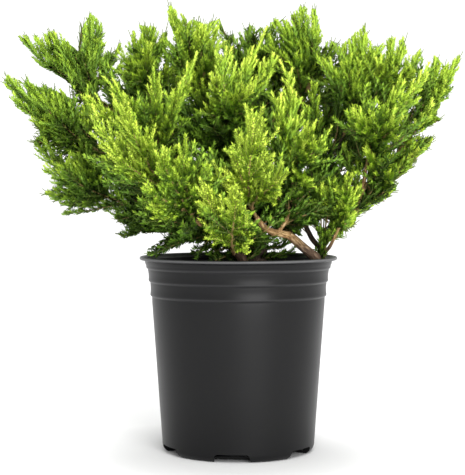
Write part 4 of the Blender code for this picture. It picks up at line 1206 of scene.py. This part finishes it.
def shoot_needles(shoots, rank, dice):
    """The needles round each shoot, then a leading one at its end."""
    _, pitch, sizes, _ = RANKS[rank]
    clear, long, heading, bend = (shoots[key] for key in ("clear", "long", "heading", "bend"))
    rise, radial, light = (shoots[key] for key in ("rise", "radial", "light"))
    count = len(long)
    needles = np.maximum(3, np.round(long / pitch).astype(int))
    needles[~clear] = 0
    who = np.repeat(np.arange(count), needles)
    place = np.arange(len(who)) - np.repeat(np.cumsum(needles) - needles, needles)
    t = (place + dice.uniform(0.2, 0.8, len(who))) / needles[who]
    start = shoots["root"][who] + (heading[who] * t[:, None]
                                   + bend[who] * (t ** 2)[:, None]) * long[who][:, None]
    tangent = unit(heading[who] + 2 * bend[who] * t[:, None])
    normal = unit(rise[who] + 0.2 * shoots["side"][who])
    beside = unit(np.cross(tangent, normal))
    normal = np.cross(beside, tangent)
    phase = GOLDEN_ANGLE * place + dice.normal(0, 0.2, len(who))
    out = unit(beside * np.cos(phase)[:, None] + normal * (np.sin(phase) * SHOOT_DEPTH)[:, None])
    lean = np.radians(between(NEEDLE_ANGLES, t) + dice.normal(0, NEEDLE_ANGLE_SPREAD, len(who)))
    way = turned_to(tangent, out, lean)
    size = between(sizes, t) * dice.uniform(*NEEDLE_LENGTHS, len(who))
    # Needles facing up get painted light.
    toward_tip, toward_up, varies = NEEDLE_LIGHT
    tone = (light[who] + toward_tip * (t - 0.5) + toward_up * out[:, 2]
            + dice.normal(0, varies, len(who)))
    flat = np.cross(way, unit(np.cross(out, tangent)))
    yield start, way, flat, 0.6 * out + 0.5 * flat + 0.3 * way + 0.3 * radial[who], size, tone
    way = unit(heading + 2 * bend)
    flat = unit(rise + dice.normal(0, 0.4, (count, 3)))
    size = dice.uniform(0.7, 1.0, count) * sizes[1]
    yield tuple(values[clear] for values in (
        shoots["end"] - way * 0.8, way, flat, rise + 0.5 * way + 0.5 * radial, size,
        light + LEADER_LIGHTER))


def axis_needles(plume, facing, dice):
    """The needles along a plume's own axis, then one at its tip."""
    axis, _, light, rank = plume
    _, pitch, sizes, _ = RANKS[rank]
    count = int(length_of(axis) * (1 - AXIS_NEEDLES_FROM) / (pitch + 0.3))
    share = np.linspace(AXIS_NEEDLES_FROM, 1.0, count)
    root, ahead = along(axis, share)
    side = unit(np.cross(facing, ahead))
    rise = np.cross(ahead, side)
    out = turned_to(side, rise, GOLDEN_ANGLE * np.arange(count))
    way = turned_to(ahead, out, np.radians(dice.uniform(*AXIS_NEEDLE_ANGLES, count)))
    size = dice.uniform(*AXIS_NEEDLE_LENGTHS, count) * sizes[0]
    darker, toward_tip, from_share, varies = AXIS_LIGHT
    tone = light + darker + toward_tip * (share - from_share) + dice.normal(0, varies, count)
    yield root, way, rise, out + 0.3 * ahead, size, tone
    tip, ahead = along(axis, 1.0)
    yield (tip - ahead, ahead, np.cross(ahead, unit(np.cross(facing, ahead))), facing[None],
           np.array([sizes[1]]), np.array([light + AXIS_TIP_LIGHTER]))


def grow(plumes, dice):
    """The side shoots and the needles of every plume, as arrays."""
    paths, path_ranks = [], []
    grown = {key: [] for key in ("root", "ahead", "flat", "normal", "length", "light", "rank")}
    for plume in plumes:
        rank = plume[-1]
        shoots, facing = grown_shoots(plume, dice)
        clear = shoots["clear"]
        paths.append(np.stack([shoots[key] for key in ("root", "middle", "end")], axis=1)[clear])
        path_ranks.append(np.full(clear.sum(), rank))
        for lot in (*shoot_needles(shoots, rank, dice), *axis_needles(plume, facing, dice)):
            for key, values in zip(grown, (*lot, np.full(len(lot[0]), rank))):
                grown[key].append(values)
    return (np.concatenate(paths), np.concatenate(path_ranks),
            {key: np.concatenate(value) for key, value in grown.items()})


def needle_shape():
    """A needle of unit length and half width, folded along its keel, and how its sides turn off it."""
    points = np.array([(0, 0, 0.1), (0.42, 1, -0.4), (0.48, -0.94, -0.36), (1, 0, 0.1)])
    turns = np.array([(0, 0), (0, 0.5), (0, -0.5), (0.35, 0)])
    return points, turns, np.array([(0, 3, 1), (0, 2, 3)])


def set_normals(mesh, normals):
    layer = mesh.attributes.new("custom_normal", "FLOAT_VECTOR", "POINT")
    layer.data.foreach_set("vector", unit(normals).astype(np.float32).ravel())
    mesh.update()


def make_needles(needles, materials, dice):
    shape, turns, faces = needle_shape()
    ahead, flat, normal = unit(needles["ahead"]), unit(needles["flat"]), unit(needles["normal"])
    side = unit(np.cross(flat, ahead))
    flat = np.cross(ahead, side)
    length, rank = needles["length"], needles["rank"]
    ends = needles["root"] + ahead * length[:, None]
    keep = in_the_clear(needles["root"], -EDGE_REACH) & in_the_clear(ends, -EDGE_REACH)
    # Painted light further out and painted shade further in, on top of the inner foliage's own darker colour.
    reach = np.linalg.norm((needles["root"] - CROWN_HEART) * REACH_WEIGHTS, axis=1)
    light = needles["light"] + REACH_LIGHTER * np.clip((reach - MIDDLE_REACH) / REACH_SPAN, *REACH_LIMITS)
    broad = np.array([half_width for _, _, _, half_width in RANKS])[rank]
    broad = broad * dice.uniform(*NEEDLE_BREADTHS, len(broad))
    curl = UP[None] * NEEDLE_CURL * length[:, None]
    above = np.inf
    most = MOST_TRIANGLES // len(faces)
    for name, (least, _) in SHADES.items():
        chosen = np.flatnonzero(keep & (light >= least) & (light < above))
        above = least
        for number, start in enumerate(range(0, len(chosen), most), 1):
            some = chosen[start:start + most]
            root, onward, sideways, upward, bent = (
                values[some][:, None] for values in (needles["root"], ahead, side, flat, curl))
            far, wide = length[some][:, None, None], broad[some][:, None, None]
            points = (root + onward * (shape[None, :, 0:1] * far) + sideways * (shape[None, :, 1:2] * wide)
                      + upward * (shape[None, :, 2:3] * wide) + bent * (shape[None, :, 0:1] ** 2))
            mesh = mesh_of(f"{name}_sprays_{number}", points,
                           repeated(faces, len(some), len(shape)), smooth=True)
            set_normals(mesh, normal[some][:, None] + onward * turns[None, :, 0:1]
                        + sideways * turns[None, :, 1:2])
            mesh.materials.append(materials[name])
            piece(mesh.name, mesh, "foliage_light" if name in LIT_SHADES else "foliage_shade")


def tubes(paths, root_radius, tip_radius, sides=3):
    """Slim tubes along many paths of equal count: arrays of points and quads."""
    count, steps, _ = paths.shape
    heading = unit(np.gradient(paths, axis=1))
    side = unit(np.cross(heading[:, :1], (0.31, 0.5, 0.81)))
    side = unit(side - heading * (side * heading).sum(axis=2, keepdims=True))
    rise = np.cross(heading, side)
    share = np.linspace(0, 1, steps)
    radius = (root_radius + (tip_radius - root_radius) * share)[None, :, None, None]
    turn = np.arange(sides) * math.tau / sides
    ring = side[:, :, None] * np.cos(turn)[:, None] + rise[:, :, None] * np.sin(turn)[:, None]
    points = paths[:, :, None] + ring * radius
    quads = ring_quads(steps, sides, closed=True)
    return points.reshape(-1, 3), repeated(quads, count, steps * sides)


def make_twigs(plumes, paths, ranks, twig_material, shoot_material):
    def lot(wanted, steps):
        return np.array([along(axis, np.linspace(0, 1, steps))[0]
                         for axis, _, _, rank in plumes if (rank == 0) == wanted])

    twigs = [tubes(lot(True, 12), *OWN_TWIG, sides=5), tubes(lot(False, 7), *LESSER_TWIG)]
    shoots = [tubes(paths[ranks < 2], *LIT_SHOOT), tubes(paths[ranks == 2][:, ::2], *SHADED_SHOOT)]
    for name, parts, material, slot_name, nodes in (
            ("plume_twigs", twigs, twig_material, "bark", tuple(MASSES | back_masses())),
            ("side_shoots", shoots, shoot_material, "foliage_shade", ())):
        mesh = mesh_of(name, *joined(parts), smooth=True)
        mesh.materials.append(material)
        piece(name, mesh, slot_name, *nodes)


# ---------------- studio
def make_floor():
    corners = np.array(((-1, -1, 0), (1, -1, 0), (1, 1, 0), (-1, 1, 0))) * FLOOR_HALF / MM
    mesh = mesh_of("studio_floor", corners, np.array([(0, 1, 2, 3)]))
    floor = new_object("studio_floor", mesh)
    made, tree, shader = new_material("studio_white")
    # The floor's colour is darker round the pot's foot: a painted contact shadow.
    far = node(tree, "VectorMath", [(0, object_place(tree)), (1, FLOOR_SHADE_HEART)],
               operation="DISTANCE").outputs["Value"]
    painted_shadow_tone = ramp(tree, share_of(tree, far, *FLOOR_SHADE_REACH),
                [(place, (tone, tone, tone)) for place, tone in FLOOR_TONES])
    tree.links.new(painted_shadow_tone, shader.inputs["Base Color"])
    set_surface(shader, Roughness=0.9, Specular_IOR_Level=0.1)
    mesh.materials.append(made)


def make_studio():
    scene = bpy.context.scene
    make_floor()
    world = bpy.data.worlds.new("studio_air")
    world.use_nodes = True
    world.node_tree.nodes["Background"].inputs["Color"].default_value = (1, 1, 1, 1)
    world.node_tree.nodes["Background"].inputs["Strength"].default_value = AIR_STRENGTH
    scene.world = world
    for name, (place, aim, size, power) in LAMPS.items():
        lamp = bpy.data.lights.new(name, "AREA")
        lamp.size = size
        lamp.energy = power
        made = new_object(name, lamp)
        made.location = place
        made.rotation_euler = (Vector(aim) - Vector(place)).to_track_quat("-Z", "Y").to_euler()
    camera = bpy.data.cameras.new("camera")
    camera.sensor_width = SENSOR
    camera.lens = LENS
    eye = new_object("camera", camera)
    eye.location = EYE * MM
    eye.rotation_euler = (math.radians(90 - LOOKS_DOWN), 0, math.radians(LOOKS_LEFT))
    scene.camera = eye
    scene.view_settings.view_transform = "Standard"


def main():
    dice = np.random.default_rng(SEED)
    tint = patchy_tint()
    make_pot(plastic_material(tint))
    make_mix(dice, [mix_material(name, colour, tint) for name, colour in MIX_TONES.items()])
    paths = limb_paths()
    make_limbs(paths, [bark_material("bark_golden", GOLDEN_BARK),
                       bark_material("bark_brown", BROWN_BARK, GOLDEN_BARK),
                       bark_material("bark_shaded", SHADED_BARK)])
    plumes = own_plumes(paths)
    plumes += (side_plumes(plumes, dice) + shaded_plumes(paths, plumes, dice)
               + filling_plumes(paths, plumes, dice) + placed_sprays(paths))
    shoot_paths, shoot_ranks, needles = grow(plumes, dice)
    shade_materials = {name: needle_material(name + "_needles", colour, tint)
                       for name, (_, colour) in SHADES.items()}
    make_needles(needles, shade_materials, dice)
    make_twigs(plumes, shoot_paths, shoot_ranks, needle_material("twig_bark", TWIG_TONE, tint),
               needle_material("shoot_green", SHOOT_TONE, tint))
    make_studio()


main()
